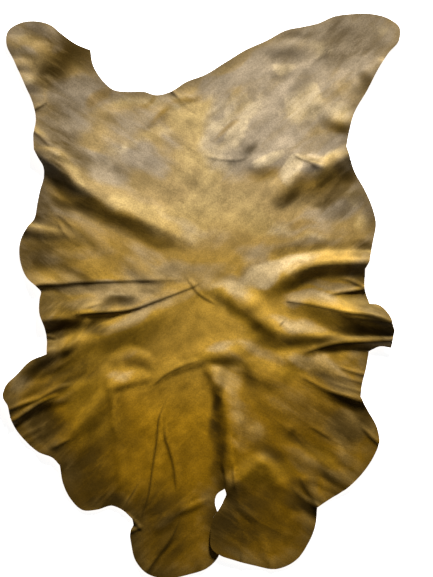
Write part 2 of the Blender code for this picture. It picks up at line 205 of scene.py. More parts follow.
# %% The main folds, the same as the fixed model's
FOLDS = (
    ("left shoulder", KEEN, (
        (-320, 274, 15, 79, 29), (-298, 261, 15, 79, 29), (-284, 251, 15, 79, 29),
        (-264, 238, 15.5, 76, 31), (-246, 223, 16, 72, 34), (-226, 206, 15.5, 68, 38),
        (-201, 189, 15, 68, 41), (-174, 169, 13.5, 68, 41), (-153, 156, 12.5, 68, 41),
        (-111, 138, 10.5, 65, 38), (-68, 121, 8, 54, 32), (-36, 106, 4.5, 40, 25),
        (-3, 92, 0, 22, 18))),
    ("left flank pleat", KEEN, (
        (-338, 126, 7, 13, 20), (-309, 121, 7, 13, 20), (-273, 114, 5, 11, 18),
        (-241, 108, 0, 9, 14))),
    ("left waist pleat", SHARP, (
        (-313, 16, 10, 32, 14), (-288, 22, 9, 32, 14), (-255, 23, 6.5, 27, 13),
        (-226, 26, 4, 18, 9), (-187, 27, 2.2, 13, 6), (-129, 29, 1.6, 11, 5), (-10, 31, 0, 9, 5))),
    ("left waist shelf", ROUND, (
        (-306, -43, 14, 61, 22), (-273, -38, 14, 61, 23), (-223, -32, 9, 47, 22),
        (-174, -27, 4, 29, 16), (-138, -22, 0, 22, 14))),
    ("left waist lip", SHARP, (
        (-237, -32, 0, 14, 7), (-201, -29, 4, 22, 7), (-151, -26, 4.5, 22, 7),
        (-122, -21, 4, 22, 7), (-93, -11, 3.5, 22, 7), (-25, 15, 1.5, 13, 5), (0, 27, 0, 9, 5))),
    ("left haunch", ROUND, (
        (-363, -187, 9, 25, 36), (-333, -148, 14, 25, 40), (-306, -119, 17, 25, 43),
        (-279, -104, 17, 22, 43), (-244, -95, 13, 18, 36), (-212, -81, 9, 16, 32),
        (-178, -68, 8, 18, 36), (-138, -58, 9, 22, 40), (-93, -40, 8, 22, 43),
        (-57, -20, 5, 18, 40), (-25, 0, 2, 13, 25), (-3, 16, 0, 9, 14))),
    ("left belly upper", ROUND, (
        (-360, -198, 7, 18, 22), (-333, -189, 8, 18, 22), (-295, -169, 7, 16, 22),
        (-252, -149, 5, 16, 22), (-205, -119, 3, 16, 18), (-176, -97, 0, 14, 14))),
    ("left belly middle", ROUND, (
        (-360, -223, 6, 13, 14), (-333, -211, 7, 13, 16), (-291, -189, 6, 13, 18),
        (-248, -171, 5, 14, 22), (-208, -157, 3, 14, 22), (-176, -137, 0, 14, 18))),
    ("left belly lower", ROUND, (
        (-309, -299, 0, 14, 22), (-280, -281, 6, 16, 25), (-253, -261, 8, 16, 27),
        (-225, -238, 8, 16, 27), (-199, -209, 7, 16, 22), (-171, -175, 4, 13, 16),
        (-154, -151, 0, 11, 13))),
    ("right shoulder", KEEN, (
        (98, 144, 0, 18, 25), (123, 166, 3, 22, 32), (144, 191, 7, 25, 36),
        (159, 205, 9, 27, 36), (173, 218, 10, 27, 36), (188, 232, 10, 22, 36),
        (202, 238, 10, 18, 36), (216, 234, 11, 18, 40), (238, 241, 13, 18, 43),
        (261, 254, 15, 18, 43), (288, 265, 15, 18, 43))),
    ("right flank", KEEN, (
        (80, -27, 0, 22, 22), (99, -11, 3, 29, 40), (116, 9, 5, 36, 47), (134, 27, 7.5, 36, 45),
        (155, 40, 10.5, 32, 36), (177, 50, 12, 25, 29), (198, 57, 12, 22, 25),
        (222, 61, 12, 20, 27), (249, 63, 12, 18, 27), (297, 63, 12, 18, 27),
        (328, 61, 12, 18, 27))),
    ("right flank apron", SOFT, (
        (98, 11, 0, 18, 25), (130, 31, 3, 22, 43), (170, 49, 4, 22, 50), (216, 59, 5, 22, 54),
        (267, 61, 5, 22, 54), (328, 61, 5, 22, 54))),
    ("right tongue", SHARP, (
        (150, -7, 0, 11, 14), (162, -9, 4, 18, 22), (188, -13, 5.5, 22, 32),
        (213, -18, 8, 27, 47), (238, -23, 13, 31, 56), (267, -29, 19, 32, 58),
        (294, -32, 22, 32, 58), (328, -41, 23, 32, 58), (360, -54, 23, 32, 54))),
    ("right tongue, under side", KEEN, (
        (87, -29, 0, 14, 18), (108, -45, 4, 23, 32), (125, -58, 7, 29, 36),
        (157, -65, 9, 31, 36), (180, -67, 9, 27, 36), (204, -72, 8, 22, 31),
        (236, -77, 5, 11, 22), (272, -77, 4, 7, 18), (319, -77, 4, 7, 14), (357, -79, 4, 7, 14))),
    ("right tongue, lower lip", SHARP, (
        (180, -104, 0, 7, 9), (202, -95, 3, 9, 13), (240, -85, 5, 9, 14), (272, -82, 5, 9, 14),
        (314, -81, 5, 9, 14), (357, -79, 5, 9, 14))),
    ("right belly pleat", SHARP, (
        (170, -140, 0, 11, 11), (195, -153, 2, 14, 16), (222, -166, 3.5, 20, 20),
        (252, -176, 5.5, 23, 23), (281, -184, 7, 25, 25), (306, -193, 7, 25, 25))),
    ("back mound", ROUND, (
        (-7, 22, 0, 14, 13), (15, 14, 3, 18, 18), (36, 9, 6, 23, 22), (54, -2, 7, 27, 23),
        (69, -11, 7, 29, 25), (89, -20, 7, 29, 25), (108, -38, 6, 25, 25), (126, -54, 3, 22, 22),
        (144, -63, 0, 14, 16))),
    ("loin crease", ROUND, (
        (-97, -169, 0, 11, 7), (-75, -148, 2, 22, 7), (-54, -135, 2.5, 25, 7),
        (-9, -117, 4, 32, 11), (22, -106, 6.5, 36, 20), (47, -103, 7, 36, 23),
        (69, -97, 5, 32, 20), (90, -86, 2, 22, 13), (108, -74, 0, 14, 13))),
    ("saddle crown", ROUND, (
        (62, -108, 0, 18, 14), (80, -126, 3.5, 32, 18), (101, -140, 4.5, 43, 22),
        (126, -148, 4, 43, 22), (148, -142, 2, 29, 18), (162, -126, 0, 18, 14))),
    ("rump ridge", KEEN, (
        (0, -133, 0, 11, 9), (11, -133, 5, 14, 13), (20, -142, 8, 25, 16),
        (29, -160, 10, 32, 20), (38, -182, 11, 43, 23), (45, -205, 12, 50, 25),
        (48, -230, 12, 50, 25), (47, -259, 11, 50, 23), (45, -295, 10, 40, 22),
        (44, -324, 6, 29, 18), (42, -349, 3, 18, 14))),
    ("left fore shank", SOFT, (
        (-324, 421, 0, 18, 22), (-302, 428, 4, 22, 36), (-273, 446, 8, 25, 54),
        (-255, 468, 9, 25, 61), (-237, 497, 9, 25, 61))),
    ("withers ridge", ROUND, (
        (44, 230, 0, 14, 18), (58, 250, 3, 18, 20), (80, 281, 4, 20, 22),
        (101, 311, 3.5, 20, 22), (132, 347, 2, 20, 22), (173, 392, 1.5, 20, 22),
        (209, 428, 0, 16, 18))),
    ("right fore shank pleat", KEEN, (
        (206, 358, 0, 11, 11), (215, 344, 2.5, 16, 14), (225, 326, 4, 18, 20),
        (240, 315, 5, 20, 22), (258, 311, 5.5, 22, 23), (288, 315, 5.5, 22, 23))),
    ("right shank crown", KEEN, (
        (29, -367, 0, 18, 18), (51, -344, 5, 23, 32), (72, -326, 7.5, 25, 40),
        (92, -310, 8.5, 25, 40), (108, -299, 8.5, 22, 40), (125, -311, 6.5, 18, 36),
        (141, -333, 4, 14, 29), (153, -355, 0, 11, 14))),
)

# %% The creases and soft ridges between them
CREASES = (
    ("flank hollow upper", ROUND, (
        (-205, 74, 0, 14.5, 11), (-201, 54, 2, 23.5, 18), (-205, 36, 2, 23.5, 18),
        (-208.5, 20, 0, 14.5, 11))),
    ("flank hollow lower", ROUND, (
        (-136.5, 72, 0, 11, 11), (-124, 54, 3, 18, 16), (-106, 39.5, 3.5, 18, 16),
        (-80.5, 30.5, 2, 14.5, 11), (-57, 23.5, 0, 9, 9))),
    ("shelf line", FINE, (
        (-219, -23.5, 0, 5.5, 5.5), (-201, -18, 1.2, 7, 5.5), (-176, -11, 0, 5.5, 5.5))),
    ("shelf tick", FINE, (
        (-224.5, -41.5, 0, 3.5, 3.5), (-223.5, -27, 1.2, 4.5, 5.5), (-224.5, -12.5, 0, 3.5, 3.5))),
    ("shelf pocket", ROUND, (
        (-187, -18, 0, 11, 9), (-161.5, -7, 3, 18, 12.5), (-138, -2, 4, 21.5, 14.5),
        (-122, -2.5, 4, 20, 14.5), (-107.5, -12.5, 0, 11, 11))),
    ("waist curl", KEEN, (
        (-262.5, -101, 0, 5.5, 7), (-244.5, -93.5, 4, 7, 11), (-232, -81, 5, 7, 12.5),
        (-219, -65, 5, 7, 12.5), (-210, -50.5, 3.5, 5.5, 11), (-203, -36, 0, 5.5, 7))),
    ("waist nick", FINE, (
        (-291, -70, 1.5, 5.5, 5.5), (-269.5, -74, 1.5, 5.5, 5.5), (-259, -79, 0, 3.5, 3.5))),
    ("flank wrinkle one", FINE, (
        (-269.5, 149.5, 0, 5.5, 5.5), (-255, 144, 0.8, 7, 7), (-241, 133, 0.8, 7, 7),
        (-230, 119, 0, 5.5, 5.5))),
    ("flank wrinkle two", FINE, (
        (-260.5, 140.5, 0, 5.5, 5.5), (-255, 126, 1, 7, 7), (-248, 113.5, 1, 7, 7),
        (-237, 102.5, 0, 5.5, 5.5))),
    ("flank ripple", ROUND, (
        (-237, 137, 0, 11, 11), (-212, 117, 2, 14.5, 14.5), (-183, 95.5, 2, 14.5, 14.5),
        (-156, 79, 1.5, 14.5, 14.5), (-129, 57.5, 0, 11, 11))),
    ("flank band", ROUND, (
        (-280.5, 66.5, 0, 11, 11), (-255, 70, 2, 14.5, 14.5), (-228, 72, 2, 14.5, 14.5),
        (-201, 66.5, 0, 11, 11))),
    ("belly line one", SHARP, (
        (-354, -205, 4, 11, 7), (-340, -200.5, 4, 11, 7), (-320, -192.5, 3.5, 9, 7),
        (-298.5, -185.5, 3, 9, 7), (-277, -174.5, 2.5, 9, 9), (-255, -164, 2, 9, 9),
        (-233.5, -158.5, 0, 7, 7))),
    ("belly line two", SHARP, (
        (-352.5, -230.5, 5, 7, 12.5), (-338, -223, 5, 7, 12.5), (-316.5, -208, 4.5, 7, 12.5),
        (-295, -193.5, 3.5, 7, 12.5), (-273, -182.5, 2, 7, 11), (-255, -176.5, 0, 5.5, 7))),
    ("belly line three", KEEN, (
        (-327, -255.5, 2, 5.5, 7), (-313, -247.5, 2, 5.5, 7), (-291, -236, 1.8, 5.5, 7),
        (-269.5, -225, 0, 5.5, 5.5))),
    ("belly line four", KEEN, (
        (-323.5, -268, 2, 5.5, 7), (-309, -260, 2, 5.5, 7), (-291, -250, 1.8, 5.5, 7),
        (-269.5, -239.5, 0, 5.5, 5.5))),
    ("belly soft ridge", KEEN, (
        (-327, -182, 0, 9, 9), (-305.5, -162, 3.5, 11, 14.5), (-287.5, -144, 4, 11, 16),
        (-266, -129.5, 3.5, 11, 16), (-241, -117, 2.5, 11, 16), (-212, -97, 0, 11, 11))),
    ("belly grey ridge", ROUND, (
        (-295, -200, 0, 9, 9), (-273, -191, 1.4, 11, 11), (-248, -185.5, 1.6, 11, 11),
        (-223, -176.5, 0, 9, 9))),
    ("belly corner crease", FINE, (
        (-277, -275.5, 0, 5.5, 5.5), (-262.5, -269, 2, 7, 9), (-248, -261, 2, 7, 9),
        (-233.5, -254, 0, 5.5, 5.5))),
    ("belly corner tuck", ROUND, (
        (-273, -313, 4, 11, 16), (-255, -297, 4, 12.5, 18), (-237, -281, 3, 14.5, 18),
        (-215.5, -268, 2, 14.5, 16), (-194, -259, 0, 11, 11))),
    ("haunch upright", KEEN, (
        (-170.5, -126, 0, 5.5, 5.5), (-169, -151, 1.2, 7, 7), (-164, -180, 2, 7, 7),
        (-160, -209, 2.2, 7, 7), (-156, -241, 1.6, 7, 7), (-152.5, -270, 0, 5.5, 5.5))),
    ("haunch upright low", ROUND, (
        (-154.5, -259, 0, 9, 9), (-149, -286, 2, 11, 11), (-143.5, -313, 2.5, 11, 11),
        (-142, -338.5, 2.5, 11, 11), (-147, -363.5, 2, 11, 11), (-158, -389, 2, 11, 11))),
    ("haunch second upright", ROUND, (
        (-100.5, -209, 0, 11, 9), (-109.5, -237.5, 2, 12.5, 11), (-118.5, -263, 2.2, 12.5, 11),
        (-125.5, -288, 2.2, 12.5, 11), (-129, -313, 1.5, 11, 11), (-133, -338.5, 0, 9, 9))),
    ("dent upper", ROUND, (
        (-169, -120.5, 0, 11, 11), (-151, -110, 3, 14.5, 16), (-129, -105.5, 4, 14.5, 18),
        (-107.5, -110, 4, 12.5, 18), (-93, -120.5, 3, 11, 14.5), (-80.5, -138.5, 0, 9, 9))),
    ("dent lower", KEEN, (
        (-179.5, -165.5, 0, 14.5, 11), (-169, -163, 3, 27, 14.5), (-158, -160, 5, 30.5, 14.5),
        (-138, -155.5, 5, 27, 14.5), (-106, -147.5, 3, 16, 12.5), (-82.5, -142, 0, 7, 7))),
    ("loin line", FINE, (
        (-93, -164, 0, 5.5, 3.5), (-79, -150.5, 1.1, 9, 4.5), (-66, -139.5, 1.2, 9, 4.5),
        (-46.5, -129.5, 1.2, 9, 4.5), (-25, -120.5, 1, 9, 4.5), (4, -111.5, 0, 7, 3.5))),
    ("back line", FINE, (
        (-28.5, 36, 0, 5.5, 3.5), (-17.5, 21.5, 1.3, 7, 4.5), (-7, 7, 1.3, 7, 4.5),
        (11, -5.5, 1.2, 7, 4.5), (29, -14.5, 0, 5.5, 3.5))),
    ("hind crease one", SHARP, (
        (-59, -180, 0, 14.5, 5.5), (-75, -219.5, 2, 18, 6), (-79, -259, 2.3, 18, 6),
        (-84, -291.5, 2.3, 18, 6), (-88.5, -322, 2.3, 18, 6), (-94, -358, 2.2, 14.5, 6),
        (-102, -385, 1.6, 11, 5.5), (-111, -408.5, 0, 7, 5.5))),
    ("hind crease two", SHARP, (
        (-66, -219.5, 0, 14.5, 5.5), (-64.5, -254, 1.9, 16, 5.5), (-57, -277, 1.9, 16, 5.5),
        (-50, -304, 1.9, 16, 5.5), (-46.5, -331, 1.5, 14.5, 5.5), (-44.5, -353, 0, 11, 5.5))),
    ("hind crease three", SHARP, (
        (-107.5, -331, 0, 9, 5.5), (-122, -354.5, 2.2, 11, 6), (-133, -372.5, 2.6, 11, 6.5),
        (-147, -392.5, 2.6, 11, 6.5))),
    ("hind wrinkle one", KEEN, (
        (-61, -405, 0, 5.5, 7), (-52, -394, 3, 9, 9), (-39, -380, 3.5, 9, 9),
        (-21, -364.5, 1.6, 7, 7), (-8.5, -356.5, 0, 5.5, 5.5))),
    ("hind wrinkle two", KEEN, (
        (-46.5, -396, 0, 5.5, 7), (-32, -385, 2.5, 7, 7), (-10.5, -376, 2.5, 9, 7),
        (7.5, -367, 1.5, 7, 7), (22, -362, 0, 5.5, 5.5))),
    ("hind soft ridge", ROUND, (
        (-107.5, -425, 0, 11, 12.5), (-82.5, -412, 2.5, 14.5, 18), (-61, -401.5, 2.5, 12.5, 18),
        (-44.5, -389, 0, 9, 11))),
    ("hind long crease", SHARP, (
        (-115, -518.5, 4, 16, 8), (-98.5, -493, 4, 18, 8), (-84, -470.5, 4, 18, 8),
        (-68, -450, 3.6, 16, 8), (-57, -434, 2.8, 14.5, 7), (-48, -416, 1.2, 11, 5.5),
        (-43, -401.5, 0, 7, 5.5))),
    ("hind tuck upper", FINE, (
        (-136.5, -392.5, 3, 5.5, 7), (-122, -405, 3, 5.5, 7), (-113, -415, 2, 5.5, 5.5),
        (-106, -423, 0, 3.5, 3.5))),
    ("hind tuck lower", FINE, (
        (-140, -426.5, 3, 5.5, 7), (-125.5, -422, 3, 5.5, 7), (-115, -417.5, 1.5, 5.5, 5.5),
        (-107.5, -414, 0, 3.5, 3.5))),
    ("hind end ripple", ROUND, (
        (-10.5, -448, 0, 9, 9), (-5, -471.5, 1.6, 9, 9), (2, -497, 1.6, 9, 9))),
    ("slit ridge line", ROUND, (
        (60, -216, 0, 11, 7), (54.5, -243, 2, 14.5, 9), (50, -270, 2.2, 14.5, 11),
        (47, -291.5, 1.6, 12.5, 11), (45.5, -313, 0, 9, 7))),
    ("slit fine line", FINE, (
        (54.5, -288, 0, 5.5, 3.5), (57, -313, 1.4, 7, 4.5), (59, -338.5, 1.2, 7, 4.5),
        (61.5, -356.5, 0, 5.5, 3.5))),
    ("slit hair line", FINE, (
        (36.5, -291.5, 0, 4.5, 3.5), (40, -309.5, 1.5, 5.5, 4.5), (43.5, -331, 1.5, 5.5, 4.5),
        (44.5, -349, 0, 3.5, 3.5))),
    ("shank spark", KEEN, (
        (63.5, -374.5, 0, 5.5, 5.5), (74, -386, 2.2, 5.5, 7), (83, -394, 2.2, 5.5, 7),
        (94, -400.5, 1.3, 5.5, 5.5), (103, -403, 0, 3.5, 3.5))),
    ("shank tip line", KEEN, (
        (101, -425, 0, 7, 5.5), (110, -450, 2, 7, 7), (119, -471.5, 2.3, 7, 7),
        (126.5, -495, 2.3, 7, 7))),
    ("shank tip tick", FINE, (
        (72.5, -455.5, 0, 5.5, 3.5), (72.5, -471.5, 1.4, 7, 4.5), (72.5, -489.5, 1.4, 7, 4.5))),
    ("shank soft ridge", ROUND, (
        (132, -327.5, 0, 11, 11), (144.5, -353, 2.2, 16, 14.5), (155, -378, 2.2, 16, 14.5),
        (171.5, -407, 0, 11, 11))),
    ("shank lower ripple", ROUND, (
        (162.5, -389, 0, 9, 9), (182, -401.5, 2, 12.5, 12.5), (202, -416, 2, 12.5, 12.5),
        (223.5, -428.5, 2, 12.5, 12.5))),
    ("belly bright line", KEEN, (
        (177, -326, 0, 5.5, 5.5), (191, -329.5, 1.4, 5.5, 7), (213, -335.5, 2, 5.5, 8),
        (231, -344.5, 2, 5.5, 8), (256, -356.5, 2, 5.5, 8))),
    ("belly dark crease", SHARP, (
        (175, -322, 0, 9, 7), (184, -338.5, 2.4, 18, 9), (196.5, -358, 3, 21.5, 11),
        (209, -376, 3.5, 20, 11), (222, -392.5, 3.5, 20, 11))),
    ("belly corner fold", SHARP, (
        (157, -340, 0, 7, 14.5), (175, -358, 2.4, 9, 21.5), (193, -371, 4, 9, 25),
        (211, -381.5, 5, 9, 25), (231, -392.5, 5, 9, 25))),
    ("belly band", ROUND, (
        (189.5, -286, 0, 14.5, 14.5), (213, -306, 2, 21.5, 14.5), (234.5, -322, 3, 25, 14.5),
        (258, -338.5, 4, 25, 14.5), (281, -353, 4, 25, 14.5))),
    ("belly glow", ROUND, (
        (213, -252, 0, 14.5, 14.5), (236, -266.5, 2.6, 18, 16), (258, -286, 2.6, 18, 18),
        (276, -311.5, 1.6, 16, 16), (288.5, -335, 0, 12.5, 12.5))),
    ("belly glow inner", ROUND, (
        (146, -266.5, 0, 12.5, 12.5), (166, -282.5, 2.6, 18, 16), (182, -297, 2.6, 18, 16),
        (200, -315, 0, 12.5, 12.5))),
    ("belly rim line", FINE, (
        (283, -232, 0, 5.5, 5.5), (297.5, -245, 2.2, 7, 7), (310, -257.5, 2.6, 7, 7),
        (331.5, -273.5, 2.6, 7, 7))),
    ("belly small line", FINE, (
        (189.5, -231.5, 0, 5.5, 5.5), (205.5, -239.5, 1.3, 7, 5.5), (220, -248.5, 1.3, 7, 5.5),
        (238, -259, 0, 5.5, 5.5))),
    ("belly smudge", ROUND, (
        (148, -230.5, 0, 7, 7), (162.5, -238.5, 1.8, 11, 12.5), (178.5, -243, 0, 7, 7))),
    ("belly pleat companion", FINE, (
        (207.5, -162, 0, 3.5, 5.5), (234.5, -172.5, 1.4, 4.5, 7), (258, -180.5, 1.8, 4.5, 7),
        (281, -188, 1.8, 4.5, 7), (306.5, -196, 1.8, 4.5, 7))),
    ("waist crease right", FINE, (
        (241.5, -124, 0, 5.5, 5.5), (259.5, -131.5, 1.2, 7, 5.5), (277.5, -137, 1.6, 7, 7),
        (303, -144, 1.8, 7, 7))),
    ("belly crown", ROUND, (
        (130, -117, 0, 14.5, 14.5), (153.5, -110.5, 3, 20, 21.5), (180.5, -110, 4, 20, 27),
        (202, -117, 4, 21.5, 27), (220, -129.5, 4, 23.5, 23.5), (234.5, -146, 2, 21.5, 16),
        (245, -164, 0, 11, 11))),
    ("waist crease right two", FINE, (
        (231, -137, 0, 5.5, 5.5), (252.5, -144, 0.7, 5.5, 5.5), (274, -151, 0.9, 5.5, 5.5),
        (299, -158.5, 1, 5.5, 5.5))),
    ("waist crease right three", FINE, (
        (216.5, -149.5, 0, 4.5, 5.5), (241.5, -158.5, 0.6, 4.5, 5.5),
        (267, -166.5, 0.8, 4.5, 5.5), (295.5, -174.5, 0.8, 4.5, 5.5))),
    ("flank crease right two", FINE, (
        (245, 34, 0, 5.5, 5.5), (267, 29, 1.2, 5.5, 5.5), (288.5, 18, 1.6, 5.5, 5.5),
        (313.5, 5.5, 1.6, 5.5, 5.5))),
    ("flank crease right", FINE, (
        (222, 2, 0, 5.5, 5.5), (245, 6.5, 2, 7, 5.5), (270.5, 10, 3, 7, 5.5),
        (306.5, 15.5, 4, 7, 5.5))),
    ("tongue stretch", FINE, (
        (254, -37, 0, 5.5, 3.5), (288.5, -40.5, 1.2, 5.5, 3.5), (342.5, -48.5, 1.2, 5.5, 3.5))),
    ("tongue tick", FINE, (
        (133.5, -56, 0, 3.5, 3.5), (141, -48.5, 1.2, 4.5, 4.5), (148, -41.5, 0, 3.5, 3.5))),
    ("withers line", FINE, (
        (2, 257.5, 0, 5.5, 5.5), (18.5, 249.5, 0.8, 7, 5.5), (47, 246, 0.8, 7, 5.5),
        (70.5, 247, 0.6, 7, 5.5), (85, 254, 0, 5.5, 5.5))),
    ("withers fold", ROUND, (
        (20, 277, 0, 11, 9), (36.5, 287, 1.6, 14.5, 12.5), (54.5, 297, 1.6, 14.5, 12.5),
        (78, 311.5, 0, 11, 9))),
    ("shoulder arc", ROUND, (
        (78, 248.5, 0, 9, 7), (94, 238.5, 3, 18, 16), (114, 236.5, 3.6, 20, 20),
        (132, 249.5, 3, 18, 20), (146, 270, 1.5, 14.5, 14.5), (151.5, 286, 0, 9, 9))),
    ("shoulder peak", SHARP, (
        (162.5, 259, 0, 9, 7), (175, 250, 2, 11, 9), (191, 243, 2, 11, 9), (205.5, 236, 1, 9, 9),
        (218, 230.5, 0, 7, 7))),
    ("shoulder bright one", ROUND, (
        (214.5, 389, 0, 9, 9), (209, 367, 2.6, 12.5, 11), (202, 345.5, 2.8, 12.5, 11),
        (191, 326, 0, 9, 9))),
    ("shoulder bright two", ROUND, (
        (243.5, 389, 0, 9, 9), (238, 367, 2, 11, 9), (231, 345.5, 2, 11, 9),
        (223.5, 329.5, 0, 9, 9))),
    ("shank rim fold", ROUND, (
        (268.5, 365.5, 0, 9, 11), (285, 381.5, 3, 11, 16), (301, 398, 4, 11, 16),
        (321, 417.5, 4, 11, 16))),
    ("shank mound upper", ROUND, (
        (105, 437.5, 0, 11, 11), (130, 448, 2, 14.5, 14.5), (159, 450, 2.2, 16, 16),
        (187.5, 441, 1.6, 16, 16), (204, 425, 0, 12.5, 12.5))),
    ("shank mound lower", ROUND, (
        (115.5, 398, 0, 11, 9), (135.5, 403, 2.2, 12.5, 12.5), (155, 407, 2.2, 12.5, 12.5),
        (175, 414, 0, 9, 9))),
    ("shank streak", ROUND, (
        (169.5, 389, 0, 9, 9), (189.5, 412, 1.8, 12.5, 11), (211, 439, 1.8, 12.5, 11),
        (223.5, 461, 0, 9, 9))),
    ("fore shank band one", ROUND, (
        (-367, 455.5, 2, 16, 14.5), (-340, 450, 3.2, 20, 16), (-313, 450, 3.2, 20, 16),
        (-291, 443, 2, 16, 14.5), (-269.5, 430, 0, 11, 11))),
    ("fore shank band two", ROUND, (
        (-352.5, 417.5, 2.4, 7, 7), (-331, 416.5, 2.6, 9, 9), (-313, 414, 2, 9, 9),
        (-296.5, 405, 0, 7, 7))),
    ("fore shank band three", ROUND, (
        (-341.5, 390.5, 4, 14.5, 16), (-316.5, 386, 4, 16, 18), (-298.5, 381.5, 3, 14.5, 16),
        (-280.5, 371, 0, 11, 11))),
    ("fore shank crease", FINE, (
        (-313, 332, 2.2, 9, 7), (-295, 340.5, 2.2, 9, 8), (-278.5, 351, 0, 5.5, 5.5))),
    ("shoulder crease", SHARP, (
        (-316.5, 306, 3, 9, 11), (-300, 295, 3, 9, 11.5), (-286, 283.5, 2.6, 9, 11.5),
        (-271.5, 266.5, 0, 5.5, 5.5))),
    ("shoulder bright line", KEEN, (
        (-298.5, 266.5, 0, 5.5, 5.5), (-280.5, 261, 2.2, 7, 5.5), (-260.5, 255, 2.6, 7, 5.5),
        (-242.5, 246, 1.6, 7, 5.5), (-228, 236, 0, 5.5, 5.5))),
    ("neck streak one", ROUND, (
        (-61, 338.5, 0, 9, 7), (-43, 350, 2.6, 12.5, 9), (-21, 357.5, 2.6, 12.5, 9),
        (2, 367, 0, 9, 7))),
    ("neck streak two", ROUND, (
        (-115, 297, 0, 9, 7), (-93, 314, 2.2, 12.5, 9), (-75, 327.5, 2.2, 12.5, 9),
        (-50, 344, 0, 9, 7))),
    ("neck nick", FINE, (
        (-61, 378, 2, 7, 7), (-50, 365.5, 2, 7, 7), (-37.5, 354.5, 0, 5.5, 5.5))),
)
print("main folds:", len(FOLDS), "creases and ridges:", len(CREASES))

# %% [markdown]
# Between the rows of its table a crest is a smooth curve, walked in short steps.  The height of a
# point then follows from how far it lies from the nearest step, and on which side.  Folds could be
# pulled up by hand with a sculpting brush, but a formula lets each one be changed by its table.

# %% The height of a fold
def smooth(t):
    """Ease from 0 to 1."""
    t = np.clip(t, 0.0, 1.0)
    return t * t * (3.0 - 2.0 * t)


def crest_line(rows):
    """A fold's table as closely spaced rows: a smooth curve, with eased heights and widths."""
    table = np.array(rows, dtype=float)
    line = []
    for i in range(len(table) - 1):
        start, end = table[i], table[i + 1]
        leave = (end - table[i - 1]) / 2 if i > 0 else end - start
        arrive = (table[i + 2] - start) / 2 if i + 2 < len(table) else end - start
        steps = max(2, round(math.hypot(*(end - start)[:2]) / CREST_STEP))
        for t in np.arange(steps) / steps:
            row = hermite(start, end, leave, arrive, t)
            row[2:] = start[2:] + (end - start)[2:] * (t + smooth(t)) / 2
            line.append(row)
    line.append(table[-1])
    return np.array(line)


def sharp_lines():
    """The crest lines of every fold and crease that has a sharp top."""
    for _name, shape, rows in FOLDS + CREASES:
        if shape.top_radius <= SHARP.top_radius:
            yield crest_line(rows)


def fold_height(x, y, shape, rows):
    """Height of one fold at each point: full on the crest, eased to zero at its sides."""
    line = crest_line(rows)
    reach = line[:, 3:].max() + shape.top_radius
    inside = (x > line[:, 0].min() - reach) & (x < line[:, 0].max() + reach)
    inside &= (y > line[:, 1].min() - reach) & (y < line[:, 1].max() + reach)
    px, py = x[inside], y[inside]
    nearest = np.full(px.shape, np.inf)
    height = np.zeros(px.shape)
    width = np.ones(px.shape)
    for start, end in zip(line[:-1], line[1:]):
        a, b = Crest(*start), Crest(*end)
        run_x, run_y = b.x - a.x, b.y - a.y
        along = ((px - a.x) * run_x + (py - a.y) * run_y) / (run_x**2 + run_y**2)
        along = np.clip(along, 0.0, 1.0)
        off_x, off_y = px - a.x - along * run_x, py - a.y - along * run_y
        distance = np.hypot(off_x, off_y)
        on_left = run_x * off_y - run_y * off_x > 0.0
        left = a.left + (b.left - a.left) * along
        right = a.right + (b.right - a.right) * along
        closer = distance < nearest
        nearest = np.where(closer, distance, nearest)
        height = np.where(closer, a.height + (b.height - a.height) * along, height)
        width = np.where(closer, np.where(on_left, left, right), width)
    rounded = np.hypot(nearest, shape.top_radius) - shape.top_radius
    t = np.clip(rounded / width, 0.0, 1.0)
    total = np.zeros(x.shape)
    total[inside] = height * (1.0 - t) ** 2 * (1.0 + shape.fullness * t)
    return total

# %% [markdown]
# ## The flat sheet
#
# The cut hide starts as a single face.  Slicing it with `bisect_plane` along a square grid gives
# even quads inside and leaves the cut edge exactly where it was drawn.  Slicing across first and
# then up the hide means each later cut only has to look at the strips that are still long.  The
# faces beside the sharp creases are then divided once more, so a crease is crisp where it matters
# and the rest of the hide stays light.

# %% Slice the cut hide into a grid
ON_LINE = 0.01           # mm, points this close to a grid line count as on it


def slice_sheet(sheet, axis):
    """Cut the sheet at every grid line across one axis, passing on only what is still uncut."""
    normal = Vector((0, 0, 0))
    normal[axis] = 1.0
    low = min(v.co[axis] for v in sheet.verts)
    high = max(v.co[axis] for v in sheet.verts)
    uncut = list(sheet.faces)
    for k in range(math.ceil(low / GRID), math.ceil(high / GRID)):
        place = k * GRID
        verts = list({v for f in uncut for v in f.verts})
        edges = list({e for f in uncut for e in f.edges})
        made = bmesh.ops.bisect_plane(
            sheet,
            geom=verts + edges + uncut,
            dist=ON_LINE,
            plane_co=normal * place,
            plane_no=normal,
        )
        faces = [g for g in made["geom"] if isinstance(g, bmesh.types.BMFace)]
        uncut = [f for f in faces if max(v.co[axis] for v in f.verts) > place + ON_LINE]


def flat_sheet():
    """The cut hide as one face, sliced into a grid, with its grain side up."""
    sheet = bmesh.new()
    sheet.faces.new([sheet.verts.new((p.x, p.y, 0.0)) for p in edge_points])
    slice_sheet(sheet, 0)
    slice_sheet(sheet, 1)
    if sum(f.normal.z for f in sheet.faces) < 0:
        bmesh.ops.reverse_faces(sheet, faces=sheet.faces)
    return sheet


sheet = flat_sheet()
flat_area = sum(f.calc_area() for f in sheet.faces) * MM**2
print(f"flat sheet: {len(sheet.faces)} faces, {flat_area:.4f} square metres")

# %% Divide the faces beside the sharp creases once more
REFINE_REACH = 7.0       # mm either side of a sharp crest
REFINE_HEIGHT = 0.3      # mm, where a crest is lower than this it is left coarse


def plan(sheet):
    """Where every point of the sheet lies, seen from above: all x, and all y."""
    return [np.array([v.co[axis] for v in sheet.verts]) for axis in (0, 1)]


